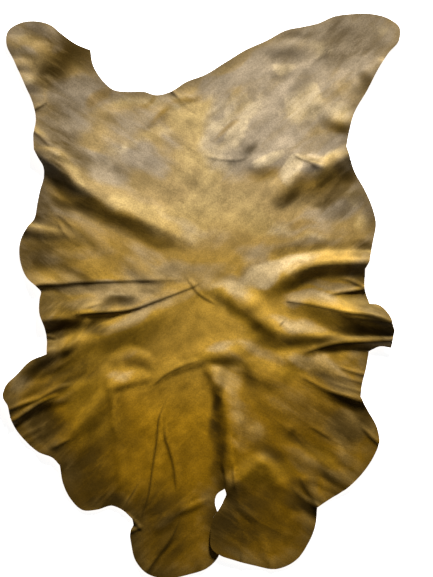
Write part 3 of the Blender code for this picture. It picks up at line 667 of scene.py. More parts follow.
def beside_sharp_crests(x, y):
    near = np.zeros(x.shape, dtype=bool)
    for here in (Crest(*row) for line in sharp_lines() for row in line):
        if here.height > REFINE_HEIGHT:
            near |= (np.abs(x - here.x) < REFINE_REACH) & (np.abs(y - here.y) < REFINE_REACH)
    return near


def refine(sheet):
    """Divide every edge that lies beside a sharp crest."""
    near = beside_sharp_crests(*plan(sheet))
    sheet.verts.index_update()
    edges = [e for e in sheet.edges if near[e.verts[0].index] and near[e.verts[1].index]]
    bmesh.ops.subdivide_edges(sheet, edges=edges, cuts=1, use_grid_fill=True)


refine(sheet)
bmesh.ops.triangulate(sheet, faces=[f for f in sheet.faces if len(f.verts) > 4])
print(f"sheet with fine strips: {len(sheet.faces)} faces")

# %% [markdown]
# ## Laying the hide down
#
# Every point of the flat sheet is moved to where it lies.  The hind shanks slide together and the
# right one rises over the left.  The folds and creases stand up.  Between them the leather still
# rolls a little, so slow noise lifts it by a millimetre or two, and the thin cut edge ruffles.
# The noise comes from fixed places in Blender's noise field, so it is the same on every run.

# %% Slow waves and the ruffled edge
Wave = namedtuple("Wave", "length height place")
WAVES = (
    Wave(105, 1.5, Vector((11.3, 4.7, 2.1))),
    Wave(47, 0.75, Vector((31.9, 8.2, 6.4))),
    Wave(21, 0.22, Vector((5.5, 27.1, 9.8))),
)
RUFFLE = Wave(52, 1.4, Vector((71.2, 3.3, 1.9)))
RUFFLE_REACH = 24.0      # mm in from the cut edge
ROLL_LIFT = 1.2          # mm, and where the lifted waves still dip under zero the hide lies flat
RUFFLE_LIFT = 0.5        # mm, the same for the ruffle


def wave_height(x, y, wave):
    """Noise of one wavelength, read from the wave's own place in the noise field."""
    spots = zip(x / wave.length, y / wave.length)
    return wave.height * np.array([noise.noise(Vector((a, b, 0.0)) + wave.place) for a, b in spots])


def distance_to_edge(x, y):
    tree = kdtree.KDTree(len(edge_points))
    for i, p in enumerate(edge_points):
        tree.insert((p.x, p.y, 0.0), i)
    tree.balance()
    return np.array([tree.find((a, b, 0.0))[2] for a, b in zip(x, y)])

# %% Lay the sheet
def slit_x(y):
    """Where the slit between the hind shanks runs at each height of the plan."""
    rise = np.clip((y - SLIT_LOW[1]) / (SLIT_TOP[1] - SLIT_LOW[1]), 0.0, 1.0)
    return SLIT_LOW[0] + (SLIT_TOP[0] - SLIT_LOW[0]) * rise


def lay(sheet):
    """Move every point to where it lies, and give its distance to the edge and its height."""
    x, y = plan(sheet)
    rim = distance_to_edge(x, y)
    side = np.where(x > slit_x(y), 1.0, -1.0)
    down = smooth((SLIT_TOP[1] - y) / (SLIT_TOP[1] - LAP_FULL))
    near = 1.0 - smooth(np.abs(x - slit_x(y)) / LAP_REACH)
    x = x - side * LAP_SHIFT * down * near
    roll = ROLL_LIFT + sum(wave_height(x, y, wave) for wave in WAVES)
    ruffle = (1.0 - smooth(rim / RUFFLE_REACH)) * (RUFFLE_LIFT + wave_height(x, y, RUFFLE))
    z = np.maximum(roll, 0.0) + np.maximum(ruffle, 0.0)
    under = (side < 0.0) * down * near
    z = z * (1.0 - under)
    z = z + np.where(side > 0.0, LAP_RISE * down * near, 0.0)
    for _name, shape, rows in FOLDS + CREASES:
        z = z + fold_height(x, y, shape, rows)
    for i, v in enumerate(sheet.verts):
        v.co = (x[i], y[i], z[i])
    return rim, z


rim_distance, height = lay(sheet)
print(f"highest fold: {height.max():.1f} mm, lowest place: {height.min():.2f} mm")

# %% [markdown]
# Laying the hide down has moved its rim a little.  The fixed model has its middle over the origin,
# so the hide is moved back there before it is scaled to metres.

# %% Put the middle of the hide over the origin, in metres
moved = []
for axis in (0, 1):
    low = min(v.co[axis] for v in sheet.verts)
    high = max(v.co[axis] for v in sheet.verts)
    moved.append((low + high) / 2)
bmesh.ops.translate(sheet, verts=sheet.verts, vec=(-moved[0], -moved[1], 0.0))
print("moved to the middle by", [round(m, 2) for m in moved], "mm")
bmesh.ops.scale(sheet, verts=sheet.verts, vec=(MM, MM, MM))

# %% [markdown]
# ## Marks for the finish
#
# Antiqued leather is dyed gold, waxed dark and rubbed back by hand.  Dark wax stays where the hide
# was handled least and along its edge, grey haze is brushed on in patches, and places on the crests
# and the back are rubbed pale.  Light and shade are painted into the same layers as well: dark and
# amber daubs paint shade on the shaded sides of folds, pale daubs paint highlights on their lit
# sides, and grey daubs paint a sheen over the neck and shoulders.  Noise alone would colour the hide
# evenly all over, so the daubs are placed one by one as soft ovals, and noise only makes their rims
# wander.  Each row of a table is a daub: its middle, its long and short radius, how far its long
# side is turned, and how strong it is.  The rows are kept by region, from the neck to the tail.

# %% Places of the daubs, in millimetres and degrees
Daub = namedtuple("Daub", "x y long short turn strength")

# Dark wax, and painted shade: many of these darken the shaded sides of folds and the shanks that slope
# away from the lamp.
WAX_AND_SHADE_DAUBS = (
    ("left fore shank", (
        (-234, 443, 54, 27, -35, 0.9), (-270, 403, 40, 27, 40, 0.9), (-309, 425, 25, 7, -20, 0.3),
        (-262, 389, 54, 61, 0, 0.15), (-291, 472, 29, 18, 0, 0.3), (-273, 331, 40, 29, 0, 0.3),
        (-210, 371, 54, 47, 0, 0.08), (-313, 464, 32, 18, -15, 0.12), (-248, 378, 47, 18, 0, 0.3),
        (-309, 457, 61, 25, 0, 0.2), (-324, 450, 47, 18, -20, 0.05))),
    ("right fore shank", (
        (258, 452, 79, 40, 10, 0.55), (155, 428, 50, 25, 10, 0.2), (299, 392, 25, 14, -50, 0.5),
        (177, 470, 40, 11, 10, 0.25), (245, 490, 29, 14, 40, 0.25))),
    ("left shoulder", (
        (-255, 284, 50, 22, -15, 1), (-262, 223, 32, 14, -48, 0.7), (-234, 202, 29, 7, -45, 0.5),
        (-282, 155, 43, 54, 0, 0.55), (-165, 227, 72, 18, -30, 0.2), (-237, 320, 65, 36, 0, 0.08),
        (-237, 164, 47, 14, -10, 0.5), (-120, 223, 50, 25, -30, 0.12),
        (-223, 153, 36, 16, -30, 0.25), (-244, 263, 54, 16, -35, 0.35),
        (-162, 313, 36, 16, 0, 0.2), (-226, 245, 47, 22, -38, 0.25),
        (-262, 266, 47, 29, -35, 0.45), (-226, 234, 40, 18, -38, 0.25))),
    ("withers", (
        (89, 272, 22, 7, 45, 0.3), (80, 270, 16, 7, 45, 0.2))),
    ("right shoulder", (
        (155, 178, 32, 14, 20, 0.6), (216, 187, 36, 18, 30, 0.7), (254, 223, 29, 14, -30, 0.72),
        (267, 182, 43, 22, -40, 0.4), (198, 245, 18, 7, -20, 0.4), (254, 299, 14, 7, -20, 0.2),
        (249, 151, 43, 22, 0, 0.3), (195, 169, 32, 14, 10, 0.4), (238, 194, 36, 25, 10, 0.3),
        (216, 202, 36, 16, 15, 0.25), (150, 180, 25, 11, 25, 0.2))),
    ("left flank", (
        (-295, 86, 36, 29, 20, 0.45), (-302, 133, 25, 11, 10, 0.68), (-295, 54, 32, 18, 0, 0.5),
        (-228, 43, 32, 9, -10, 0.3), (-273, 83, 61, 43, 0, 0.25), (-255, 41, 65, 23, 0, 0.25),
        (-210, 29, 50, 22, 0, 0.22), (-120, 108, 61, 16, -25, 0.12), (-237, 13, 61, 9, 0, 0.4),
        (-93, 5, 29, 9, -15, 0.22))),
    ("back", (
        (-66, 95, 54, 9, -15, 0.2), (-66, 43, 29, 13, 0, 0.25))),
    ("right flank", (
        (162, 20, 32, 11, 20, 0.5), (204, 88, 112, 16, 3, 0.35), (296, 88, 16, 16, 0, 0.9),
        (285, 72, 22, 9, 0, 0.25), (281, 76, 18, 14, 0, 0.2), (249, 43, 40, 13, 5, 0.4),
        (306, 148, 18, 25, 0, 0.3))),
    ("left waist", (
        (-255, -11, 43, 25, 0, 1), (-255, -59, 50, 16, 6, 0.9), (-201, -58, 40, 13, 25, 0.5),
        (-273, -86, 29, 16, 10, 0.5), (-156, -13, 40, 9, 10, 0.5), (-144, -7, 22, 7, 20, 0.4),
        (-273, -115, 58, 14, 32, 0.8), (-187, -52, 22, 11, 20, 0.4),
        (-183, -50, 25, 14, 20, 0.3))),
    ("loin", (
        (69, -119, 29, 11, -20, 0.2),)),
    ("right waist and tongue", (
        (101, -61, 22, 9, -45, 0.3), (296, -63, 54, 14, 0, 0.8), (306, -74, 54, 11, 0, 0.9),
        (213, -83, 54, 9, 4, 0.5), (310, -23, 43, 22, -20, 0.9), (267, -7, 36, 14, 0, 0.3),
        (249, -124, 47, 14, 0, 0.15), (141, -81, 47, 11, 5, 0.5), (240, -90, 40, 9, 3, 0.5),
        (209, -101, 36, 9, 5, 0.3))),
    ("left belly", (
        (-273, -166, 94, 13, 20, 0.3), (-223, -148, 36, 14, 25, 0.3),
        (-342, -184, 22, 13, 45, 0.8), (-277, -234, 50, 31, -35, 1),
        (-309, -259, 40, 14, -40, 0.5), (-226, -295, 54, 36, 0, 0.7),
        (-183, -250, 72, 65, 0, 0.25), (-255, -140, 108, 11, 22, 0.5),
        (-273, -256, 29, 14, -30, 0.56), (-313, -216, 36, 11, -30, 0.3))),
    ("rump", (
        (29, -245, 13, 94, 0, 0.8), (36, -178, 9, 54, -12, 0.35))),
    ("right belly", (
        (292, -216, 29, 14, -50, 0.6), (258, -191, 43, 13, -20, 0.7),
        (245, -230, 72, 29, -30, 0.5), (162, -239, 11, 7, 30, 0.35), (177, -259, 43, 14, -35, 0.5),
        (231, -320, 36, 14, -40, 0.8), (119, -281, 32, 18, -30, 0.5), (83, -148, 11, 36, 35, 0.35),
        (186, -232, 90, 90, 0, 0.1), (132, -232, 54, 61, 0, 0.08), (258, -162, 47, 14, -10, 0.35),
        (240, -160, 47, 14, -20, 0.12), (234, -256, 29, 14, -30, 0.5),
        (231, -157, 47, 16, -20, 0.3), (249, -259, 29, 16, -30, 0.49),
        (258, -313, 25, 13, -40, 0.35))),
    ("left hind shank", (
        (-198, -346, 65, 47, -5, 0.6), (-172, -374, 32, 16, 0, 1.2), (-129, -439, 25, 72, 15, 0.5),
        (-84, -389, 54, 32, 0, 0.6), (-66, -454, 61, 40, 20, 0.4), (-93, -502, 54, 22, 0, 0.4),
        (36, -342, 13, 18, 0, 0.3), (-66, -425, 86, 90, 0, 0.2), (-176, -371, 32, 14, 0, 1.3),
        (-102, -349, 40, 22, 0, 0.2))),
    ("right hind shank", (
        (58, -403, 43, 61, -5, 1.2), (105, -364, 54, 40, 0, 0.45), (130, -428, 54, 36, 0, 0.4),
        (177, -353, 32, 22, -40, 0.6), (206, -376, 23, 22, 0, 1.3), (209, -331, 25, 13, -20, 0.3),
        (188, -356, 32, 14, -48, 0.9), (188, -385, 36, 18, -30, 1.6), (49, -382, 18, 32, 0, 0.9),
        (209, -382, 16, 13, 0, 0.5))),
)

# Grey haze, and painted sheen: the grey reflection of the lamp, strongest over the neck and shoulders
# and on lit slopes.
HAZE_AND_SHEEN_DAUBS = (
    ("left fore shank", (
        (-252, 454, 22, 11, 40, 0.6), (-324, 439, 29, 11, -20, 0.5), (-219, 367, 61, 36, 20, 0.8),
        (-291, 482, 36, 18, -10, 0.8), (-212, 346, 72, 50, 0, 0.35))),
    ("neck", (
        (-147, 356, 47, 14, -5, 0.5), (60, 392, 72, 18, 22, 1), (36, 335, 25, 47, 0, 0.8),
        (-3, 371, 47, 14, 20, 0.3), (90, 423, 50, 16, 30, 0.7))),
    ("right fore shank", (
        (231, 464, 126, 47, 15, 1.5), (159, 389, 108, 54, 20, 1), (294, 407, 54, 36, 50, 0.8),
        (231, 335, 47, 40, 20, 0.6), (324, 472, 32, 32, 0, 0.5))),
    ("left shoulder", (
        (-246, 299, 54, 29, -10, 0.8), (-183, 230, 54, 25, -25, 1), (-111, 248, 72, 32, -20, 0.8),
        (-111, 182, 72, 18, -30, 0.2), (-120, 313, 54, 29, 15, 0.5),
        (-244, 270, 61, 22, -35, 0.5))),
    ("withers", (
        (-57, 281, 40, 22, -40, 0.35), (87, 245, 72, 22, 0, 0.6), (11, 299, 22, 83, 0, 0.35))),
    ("right shoulder", (
        (108, 281, 108, 68, 20, 0.96), (240, 272, 54, 25, 20, 1), (177, 227, 40, 29, 20, 1),
        (245, 158, 61, 25, 20, 0.9), (155, 209, 18, 18, 0, 0.3), (245, 263, 29, 11, 20, 0.3))),
    ("left flank", (
        (-228, 133, 90, 14, -25, 0.4), (-183, 92, 72, 16, -30, 0.15), (-282, 68, 43, 25, 0, 0.6),
        (-210, 18, 83, 16, 0, 0.9), (-138, 14, 61, 20, 0, 1.2), (-93, 38, 79, 22, -10, 0.6),
        (-102, 79, 54, 22, -10, 0.3), (-115, 61, 29, 22, 0, 0.3), (-237, 38, 40, 13, 0, 0.3),
        (-210, 79, 40, 18, 0, 0.25))),
    ("back", (
        (-21, 47, 90, 22, 0, 0.5), (60, 25, 32, 11, 5, 0.6), (24, 101, 90, 25, -10, 0.25),
        (65, 11, 25, 14, 0, 0.8), (24, 25, 43, 14, 0, 0.3), (-36, 126, 43, 14, -20, 0.3))),
    ("right flank", (
        (213, 119, 90, 16, -4, 0.3), (96, 79, 36, 22, 30, 0.45), (231, 16, 61, 13, -10, 0.9),
        (159, 61, 61, 13, 12, 0.7), (195, 97, 90, 11, 2, 0.4), (108, 40, 36, 25, 20, 1.6),
        (159, 47, 25, 11, 0, 0.4), (278, 22, 22, 14, 0, 0.4), (150, 128, 32, 29, 0, 0.3))),
    ("left waist", (
        (-115, -36, 76, 14, 20, 1.18), (-129, -101, 43, 11, 30, 0.21),
        (-165, -7, 101, 14, 5, 0.73), (-111, -7, 72, 18, 15, 0.35))),
    ("loin", (
        (36, -92, 40, 9, 5, 0.49), (-39, 0, 65, 14, 20, 0.3), (47, -119, 29, 25, 0, 0.24))),
    ("right waist and tongue", (
        (204, -119, 61, 18, -10, 0.62), (312, -34, 40, 13, -20, 0.5), (330, -70, 25, 22, 0, 0.8),
        (195, -4, 54, 11, -5, 0.86), (168, -52, 61, 16, -10, 0.9), (108, -101, 47, 16, -30, 0.35),
        (81, -2, 22, 14, 0, 0.3), (274, -108, 25, 16, 0, 0.4), (177, -14, 47, 9, -5, 0.4))),
    ("left belly", (
        (-327, -155, 32, 16, 45, 0.84), (-255, -184, 61, 11, 25, 0.25),
        (-237, -313, 25, 54, 8, 0.48), (-291, -232, 47, 29, -40, 0.6),
        (-144, -144, 29, 14, 6, 0.3), (-248, -328, 13, 40, 8, 0.5),
        (-298, -252, 40, 13, -45, 0.5))),
    ("rump", (
        (36, -144, 18, 22, 30, 0.3), (67, -196, 18, 68, 0, 0.15), (69, -232, 32, 61, 0, 0.3),
        (54, -158, 22, 22, 0, 0.3))),
    ("right belly", (
        (96, -259, 25, 29, 0, 0.25), (249, -151, 54, 22, -20, 0.66), (258, -286, 40, 18, -40, 0.2),
        (267, -232, 43, 29, 0, 1.1), (213, -313, 47, 14, -35, 0.3),
        (213, -232, 101, 79, -30, 0.17), (150, -187, 61, 36, -30, 0.15),
        (314, -241, 14, 36, 0, 0.5), (177, -304, 47, 18, -40, 0.25),
        (281, -295, 29, 43, 30, 0.25))),
    ("left hind shank", (
        (-57, -400, 40, 11, 30, 0.5), (-126, -421, 18, 61, 10, 0.6))),
    ("right hind shank", (
        (263, -335, 47, 13, -30, 0.5), (69, -468, 50, 16, -12, 0.8), (150, -486, 47, 11, 0, 0.6),
        (204, -346, 29, 14, -40, 0.4), (177, -403, 36, 25, 0, 0.15))),
)

# Amber dye, and painted shade: most of these give the saturated brown of the shaded sides of folds.
AMBER_AND_SHADE_DAUBS = (
    ("left fore shank", (
        (-190, 355, 25, 14, 35, 0.9), (-237, 434, 54, 36, 0, 0.6))),
    ("neck", (
        (-93, 353, 25, 7, 45, 0.6), (-23, 358, 29, 7, 22, 0.7))),
    ("left shoulder", (
        (-255, 191, 36, 22, -45, 0.7), (-183, 160, 47, 9, -28, 0.6))),
    ("withers", (
        (51, 299, 22, 7, 35, 0.5), (-75, 320, 29, 7, 35, 0.6))),
    ("right shoulder", (
        (213, 205, 79, 20, 15, 1), (108, 223, 40, 16, 0, 0.7), (249, 306, 29, 13, -20, 0.8))),
    ("left flank", (
        (-154, 137, 119, 18, -26, 1.2), (-201, 115, 72, 14, -20, 0.7), (-237, 83, 54, 18, 0, 0.5),
        (-129, 68, 47, 16, -30, 0.3))),
    ("right flank", (
        (177, 126, 29, 9, 0, 0.8), (150, 16, 40, 13, 20, 0.8), (204, 25, 47, 9, -5, 0.5))),
    ("left waist", (
        (-156, -88, 108, 22, 24, 1), (-165, -61, 72, 14, 10, 0.7))),
    ("loin", (
        (42, -119, 65, 11, -10, 0.9),)),
    ("right waist and tongue", (
        (80, -40, 61, 14, -42, 1.3), (213, -36, 47, 11, -20, 0.7), (159, -88, 72, 9, 4, 0.9),
        (150, -137, 29, 14, 0, 0.7), (108, -76, 32, 14, -20, 0.8), (213, -130, 47, 16, -20, 0.7))),
    ("left belly", (
        (-210, -169, 40, 40, 0, 1.17), (-291, -194, 40, 14, 20, 0.6),
        (-192, -232, 54, 47, 0, 0.5))),
    ("right belly", (
        (108, -313, 61, 25, 0, 0.6), (213, -286, 43, 18, -35, 0.5))),
    ("right hind shank", (
        (209, -389, 22, 22, 0, 0.6),)),
)

# Rubbed pale, and painted highlights: many of these lighten the lit sides of folds and the crests that
# face the lamp.
RUBBED_AND_HIGHLIGHT_DAUBS = (
    ("left fore shank", (
        (-320, 461, 25, 11, -15, 0.4), (-313, 396, 18, 7, -15, 0.8), (-226, 425, 32, 14, -30, 0.5),
        (-219, 428, 25, 13, -30, 0.6))),
    ("neck", (
        (-111, 351, 61, 14, 5, 0.7), (78, 344, 54, 22, 10, 0.4), (148, 410, 22, 9, 10, 0.6))),
    ("right fore shank", (
        (186, 344, 43, 36, 30, 0.7), (249, 331, 29, 22, 20, 0.7), (321, 479, 22, 14, 0, 0.4),
        (213, 446, 29, 18, 0, 0.35), (206, 434, 18, 7, 50, 0.7), (202, 367, 9, 25, -12, 0.8))),
    ("left shoulder", (
        (-111, 281, 90, 18, 15, 0.3), (-234, 225, 68, 7, -42, 0.45))),
    ("withers", (
        (-12, 326, 54, 47, 0, 0.6), (6, 236, 61, 65, 0, 0.5), (65, 290, 13, 43, -35, 1.2),
        (42, 313, 32, 13, 30, 0.5))),
    ("right shoulder", (
        (119, 248, 29, 11, 15, 1.6), (164, 223, 16, 25, -25, 2), (236, 248, 25, 7, 25, 0.7),
        (209, 216, 14, 11, 0, 0.5), (216, 218, 18, 16, 0, 1.2), (159, 216, 16, 22, -25, 0.8),
        (270, 180, 18, 22, 0, 0.5), (177, 245, 22, 7, 10, 0.6))),
    ("left flank", (
        (-108, 149, 83, 22, -25, 1),)),
    ("back", (
        (42, 146, 90, 50, 0, 0.45), (42, 14, 36, 14, 0, 0.7), (-30, 126, 40, 25, 0, 0.5),
        (-21, 137, 54, 47, 0, 0.4))),
    ("right flank", (
        (119, 131, 43, 16, -10, 1), (195, 104, 54, 7, 0, 0.5), (123, 43, 43, 22, 20, 3),
        (213, 54, 72, 9, 8, 0.5), (83, 11, 29, 16, -30, 0.8), (288, 133, 18, 14, 0, 0.6),
        (177, 70, 90, 9, 8, 0.6), (105, 34, 32, 25, 10, 0.6))),
    ("left waist", (
        (-230, -76, 29, 5, 48, 1.2), (-212, -126, 54, 11, 20, 0.4), (-228, -126, 61, 11, 22, 0.4),
        (-151, -2, 22, 9, 0, 0.4))),
    ("loin", (
        (60, -94, 61, 11, 5, 0.6), (-54, -137, 76, 20, 15, 1.8), (-46, -133, 54, 22, 10, 0.5),
        (36, -7, 29, 14, -30, 0.4))),
    ("right waist and tongue", (
        (213, -5, 54, 9, -5, 0.3), (177, -52, 61, 14, -10, 0.2), (184, -115, 58, 13, -14, 0.9),
        (114, -126, 40, 16, -20, 0.5), (213, -119, 47, 18, -15, 0.4), (303, -47, 29, 11, 0, 0.5))),
    ("left belly", (
        (-162, -144, 22, 36, 0, 1.4), (-136, -144, 36, 16, 8, 2), (-194, -191, 54, 9, 50, 0.9),
        (-334, -158, 25, 11, 50, 0.8), (-158, -209, 61, 4, -82, 1), (-327, -148, 29, 9, 48, 0.8),
        (-288, -194, 43, 9, 25, 1), (-172, -166, 18, 22, 0, 0.4), (-201, -313, 29, 14, 0, 0.2),
        (-198, -302, 25, 25, 0, 0.6))),
    ("rump", (
        (44, -148, 20, 29, 30, 1.2), (63, -194, 18, 68, 0, 0.5), (51, -286, 9, 40, 0, 0.6),
        (-30, -205, 79, 54, 0, 1.2), (-79, -281, 22, 29, 0, 1), (78, -313, 22, 9, 30, 0.6),
        (-75, -148, 54, 16, 15, 0.5), (20, -196, 9, 50, 0, 0.4))),
    ("right belly", (
        (87, -261, 31, 23, 0, 0.8), (150, -205, 18, 14, 0, 0.3), (263, -328, 54, 14, -35, 0.7),
        (240, -281, 43, 16, -40, 0.5), (123, -322, 25, 13, -40, 0.9),
        (227, -140, 25, 13, -30, 0.5))),
    ("left hind shank", (
        (-21, -376, 29, 7, 35, 0.8),)),
)

DAUBS = {"wax_and_shade": WAX_AND_SHADE_DAUBS, "haze_and_sheen": HAZE_AND_SHEEN_DAUBS, "amber_and_shade": AMBER_AND_SHADE_DAUBS, "rubbed_and_highlight": RUBBED_AND_HIGHLIGHT_DAUBS}
for name, regions in DAUBS.items():
    print(f"{name}: {sum(len(rows) for _region, rows in regions)} stains")

# %% How strong a daub is at each point
DAUB_FADE = 1.35        # how far a daub reaches, as a multiple of its radii
DAUB_BUILD = 3.0        # how soon daubs that lie over each other come to a full one
WANDER = Wave(46, 15.0, Vector((2.6, 17.3, 40.2)))


def daub_mark(x, y, regions):
    """How much of one kind of daub lies at each point, from 0 to about 1."""
    total = np.zeros(x.shape)
    for daub in (Daub(*row) for _region, rows in regions for row in rows):
        turn = math.radians(daub.turn)
        along = (x - daub.x) * math.cos(turn) + (y - daub.y) * math.sin(turn)
        across = (y - daub.y) * math.cos(turn) - (x - daub.x) * math.sin(turn)
        away = np.hypot(along / daub.long, across / daub.short)
        total += daub.strength * (1.0 - smooth(away / DAUB_FADE))
    return 1.0 - np.exp(-DAUB_BUILD * total)


# %% [markdown]
# Beside a sharp crest the steep side turns away from the lamp, and a thin line of painted shade is
# laid there.  The crests are already known, so the distance to each of them gives the line.  It
# lies just to the right of the crest, looking along its rows, and fades out where the crest does.

# %% The painted shade lines in the creases
CREASE_REACH = 12.0      # mm round a crest that is looked at
CREASE_SET_OFF = 2.2     # mm from the crest to the middle of the dark line
CREASE_WIDTH = 1.8       # mm
CREASE_FULL = 2.0        # mm of height that gives a full line


def crease_shade_mark(x, y):
    """A line of painted shade beside each sharp crest, from 0 to 1."""
    dark = np.zeros(x.shape)
    for line in sharp_lines():
        for start, end in zip(line[:-1], line[1:]):
            a, b = Crest(*start), Crest(*end)
            near = (np.abs(x - a.x) < CREASE_REACH) & (np.abs(y - a.y) < CREASE_REACH)
            run_x, run_y = b.x - a.x, b.y - a.y
            length = math.hypot(run_x, run_y)
            off_x, off_y = x[near] - a.x, y[near] - a.y
            along = np.clip((off_x * run_x + off_y * run_y) / length**2, 0.0, 1.0)
            off_x, off_y = off_x - along * run_x, off_y - along * run_y
            beside = (off_x * run_y - off_y * run_x) / length
            past_end = np.hypot(off_x, off_y) - np.abs(beside)
            away = np.hypot(beside - CREASE_SET_OFF, past_end)
            depth = min(a.height / CREASE_FULL, 1.0)
            dark[near] = np.maximum(dark[near], depth * np.exp(-((away / CREASE_WIDTH) ** 2)))
    return dark


# %% Work out every mark
sheet.verts.index_update()
place_x, place_y = (values / MM for values in plan(sheet))
daub_x = place_x + wave_height(place_x, place_y, WANDER)
daub_y = place_y + wave_height(place_y, place_x, WANDER)
marks = {
    "rim_distance": rim_distance,
    "crease": crease_shade_mark(place_x + moved[0], place_y + moved[1]),
}
# Each kind of daub becomes a mark on the hide: real stains, and painted shade, highlights and sheen.
for name, regions in DAUBS.items():
    marks[name] = daub_mark(daub_x, daub_y, regions)
for name, values in marks.items():
    print(f"{name}: {values.min():.2f} to {values.max():.2f}")

# %% [markdown]
# ## Flesh side and cut edge
#
# So far the hide is a single surface.  The real one has a grain side, a flesh side and a cut edge
# between them, and each looks different.  Both faces could be modelled and joined by hand, but a
# Solidify modifier makes them from the one sheet.  It adds the thickness upward, so the flesh side
# stays where the sheet was laid, and its material offsets give the flesh side and the edge
# materials of their own.  The marks are stored on the sheet first, so both sides carry them.

# %% Give the sheet its thickness
hide_mesh = bpy.data.meshes.new("hide_leather")
sheet.to_mesh(hide_mesh)
sheet.free()
for name, values in marks.items():
    layer = hide_mesh.attributes.new(name, "FLOAT", "POINT")
    layer.data.foreach_set("value", np.asarray(values, dtype=np.float32))

hide = bpy.data.objects.new("hide_leather", hide_mesh)
bpy.context.scene.collection.objects.link(hide)
thick = hide.modifiers.new("leather thickness", "SOLIDIFY")
thick.thickness = THICKNESS * MM
thick.offset = 1.0
thick.use_even_offset = True
thick.material_offset = 1
thick.material_offset_rim = 2
print("marks stored:", ", ".join(marks))

# %% [markdown]
# ## The finishes
#
# The grain side is built up as a leather finisher works, and light and shade are painted into its
# layers too.  Golden brown dye comes first, yellower at the neck and deeper at the tail, the deeper
# tail partly painted shade.  Amber goes in the folds, mostly as painted shade, and places on the
# crests are rubbed pale and given painted highlights.  A grey haze, partly a painted sheen, is
# brushed over it, and dark wax goes on last: real wax at the rim and in patches, and painted shade
# in the creases and on the shaded sides of folds.  Small pores and a faint creping give the surface
# its feel.
#
# A picture wrapped on the hide could show all this, but it goes soft close up and has to be drawn
# again when the hide changes.  Nodes stay sharp.  The marks say where each layer lies, and noise
# that reads the object's own coordinates breaks the layers up into patches and brush strokes.

# %% Small helpers for node trees
def fill(tree, socket, value):
    """Link a socket's value, or set it on the socket where it is a constant."""
    if isinstance(value, bpy.types.NodeSocket):
        tree.links.new(value, socket)
    else:
        socket.default_value = value


def add(tree, kind, inputs=None, **settings):
    """Add a node, set its properties, and set or link its inputs."""
    node = tree.nodes.new(kind)
    for name, value in settings.items():
        setattr(node, name, value)
    for key, value in (inputs or {}).items():
        fill(tree, node.inputs[key], value)
    return node


def new_finish(name):
    """A new material, its node tree and its shader."""
    material = bpy.data.materials.new(name)
    material.use_nodes = True
    tree = material.node_tree
    return material, tree, tree.nodes["Principled BSDF"]


def object_place(tree):
    return add(tree, "ShaderNodeTexCoord").outputs["Object"]


# %% Colours and numbers in a node tree
Span = namedtuple("Span", "low high to_low to_high", defaults=(0.0, 1.0))


def ramp(tree, factor, stops):
    """A colour ramp with the given (position, colour) stops."""
    node = add(tree, "ShaderNodeValToRGB", {"Fac": factor})
    points = node.color_ramp.elements
    while len(points) < len(stops):
        points.new(0.5)
    for point, (position, colour) in zip(points, stops):
        point.position = position
        point.color = (*colour, 1.0)
    return node.outputs["Color"]


def mix(tree, factor, first, second, blend="MIX"):
    """Mix two colours.  A Mix node has a socket of each name for every kind of value."""
    node = add(tree, "ShaderNodeMix", data_type="RGBA", blend_type=blend)
    for key, value in (("Factor", factor), ("A", first), ("B", second)):
        fill(tree, [s for s in node.inputs if s.name == key and s.enabled][0], value)
    return [s for s in node.outputs if s.enabled][0]


def between(tree, value, span):
    """Turn the range low..high of a value into to_low..to_high, with soft ends."""
    ends = {"From Min": span.low, "From Max": span.high, "To Min": span.to_low, "To Max": span.to_high}
    node = add(tree, "ShaderNodeMapRange", {"Value": value, **ends}, interpolation_type="SMOOTHSTEP")
    return node.outputs["Result"]


def math_node(tree, operation, first, second):
    node = add(tree, "ShaderNodeMath", {0: first, 1: second}, operation=operation)
    return node.outputs["Value"]


def times(tree, first, second):
    return math_node(tree, "MULTIPLY", first, second)


def mark(tree, name):
    """One of the marks that are stored on the hide."""
    return add(tree, "ShaderNodeAttribute", attribute_name=name).outputs["Fac"]


# %% [markdown]
# Dye takes differently along a skin, so each tone is given three times: at the neck, on the back
# and at the tail.  The tones also carry painted light: they darken toward the tail, partly as painted
# shade for the lamp's light falling off away from the neck, and grow greyer at the neck, partly as
# painted sheen.  The soft textures are shared by all the layers.  Clouds are as wide as a hand,
# patches as a thumb, and strokes are noise that is stretched one way, as a sponge drags.  The
# strokes run outward from the middle of the back, so each quarter of the hide has its own turn.

# %% Tones of the grain side, and where they change
Tones = namedtuple("Tones", "neck back tail")
# each tone darker toward the tail, partly painted shade for the lamp's light falling off
DYE_AND_FALLOFF_SHADE = Tones((0.240, 0.163, 0.066), (0.238, 0.134, 0.0170), (0.150, 0.073, 0.0014))
# pale rubbed wear and painted highlights
RUBBED_AND_HIGHLIGHT_TONE = Tones((0.330, 0.235, 0.095), (0.290, 0.170, 0.024), (0.235, 0.117, 0.0035))
# grey haze, partly painted sheen
HAZE_AND_SHEEN_TONE = Tones((0.185, 0.153, 0.116), (0.185, 0.135, 0.070), (0.130, 0.084, 0.026))
# the same haze and sheen, paler where it is rubbed or a highlight is painted
PALE_HAZE_AND_SHEEN_TONE = Tones((0.355, 0.282, 0.178), (0.380, 0.292, 0.165), (0.270, 0.182, 0.066))
# dark wax, and painted shade in the folds and creases, in one brown
WAX_AND_SHADE_BROWN = (0.020, 0.0105, 0.0012)
# amber dye, mostly painted shade in the folds
AMBER_AND_SHADE_TONE = (0.150, 0.080, 0.0035)

TOWARD_NECK = Span(0.01, 0.20)                  # metres from the middle of the hide
TOWARD_TAIL = Span(-0.03, -0.24)
QUARTERS = Span(-0.006, 0.006)                  # across times along, in square metres

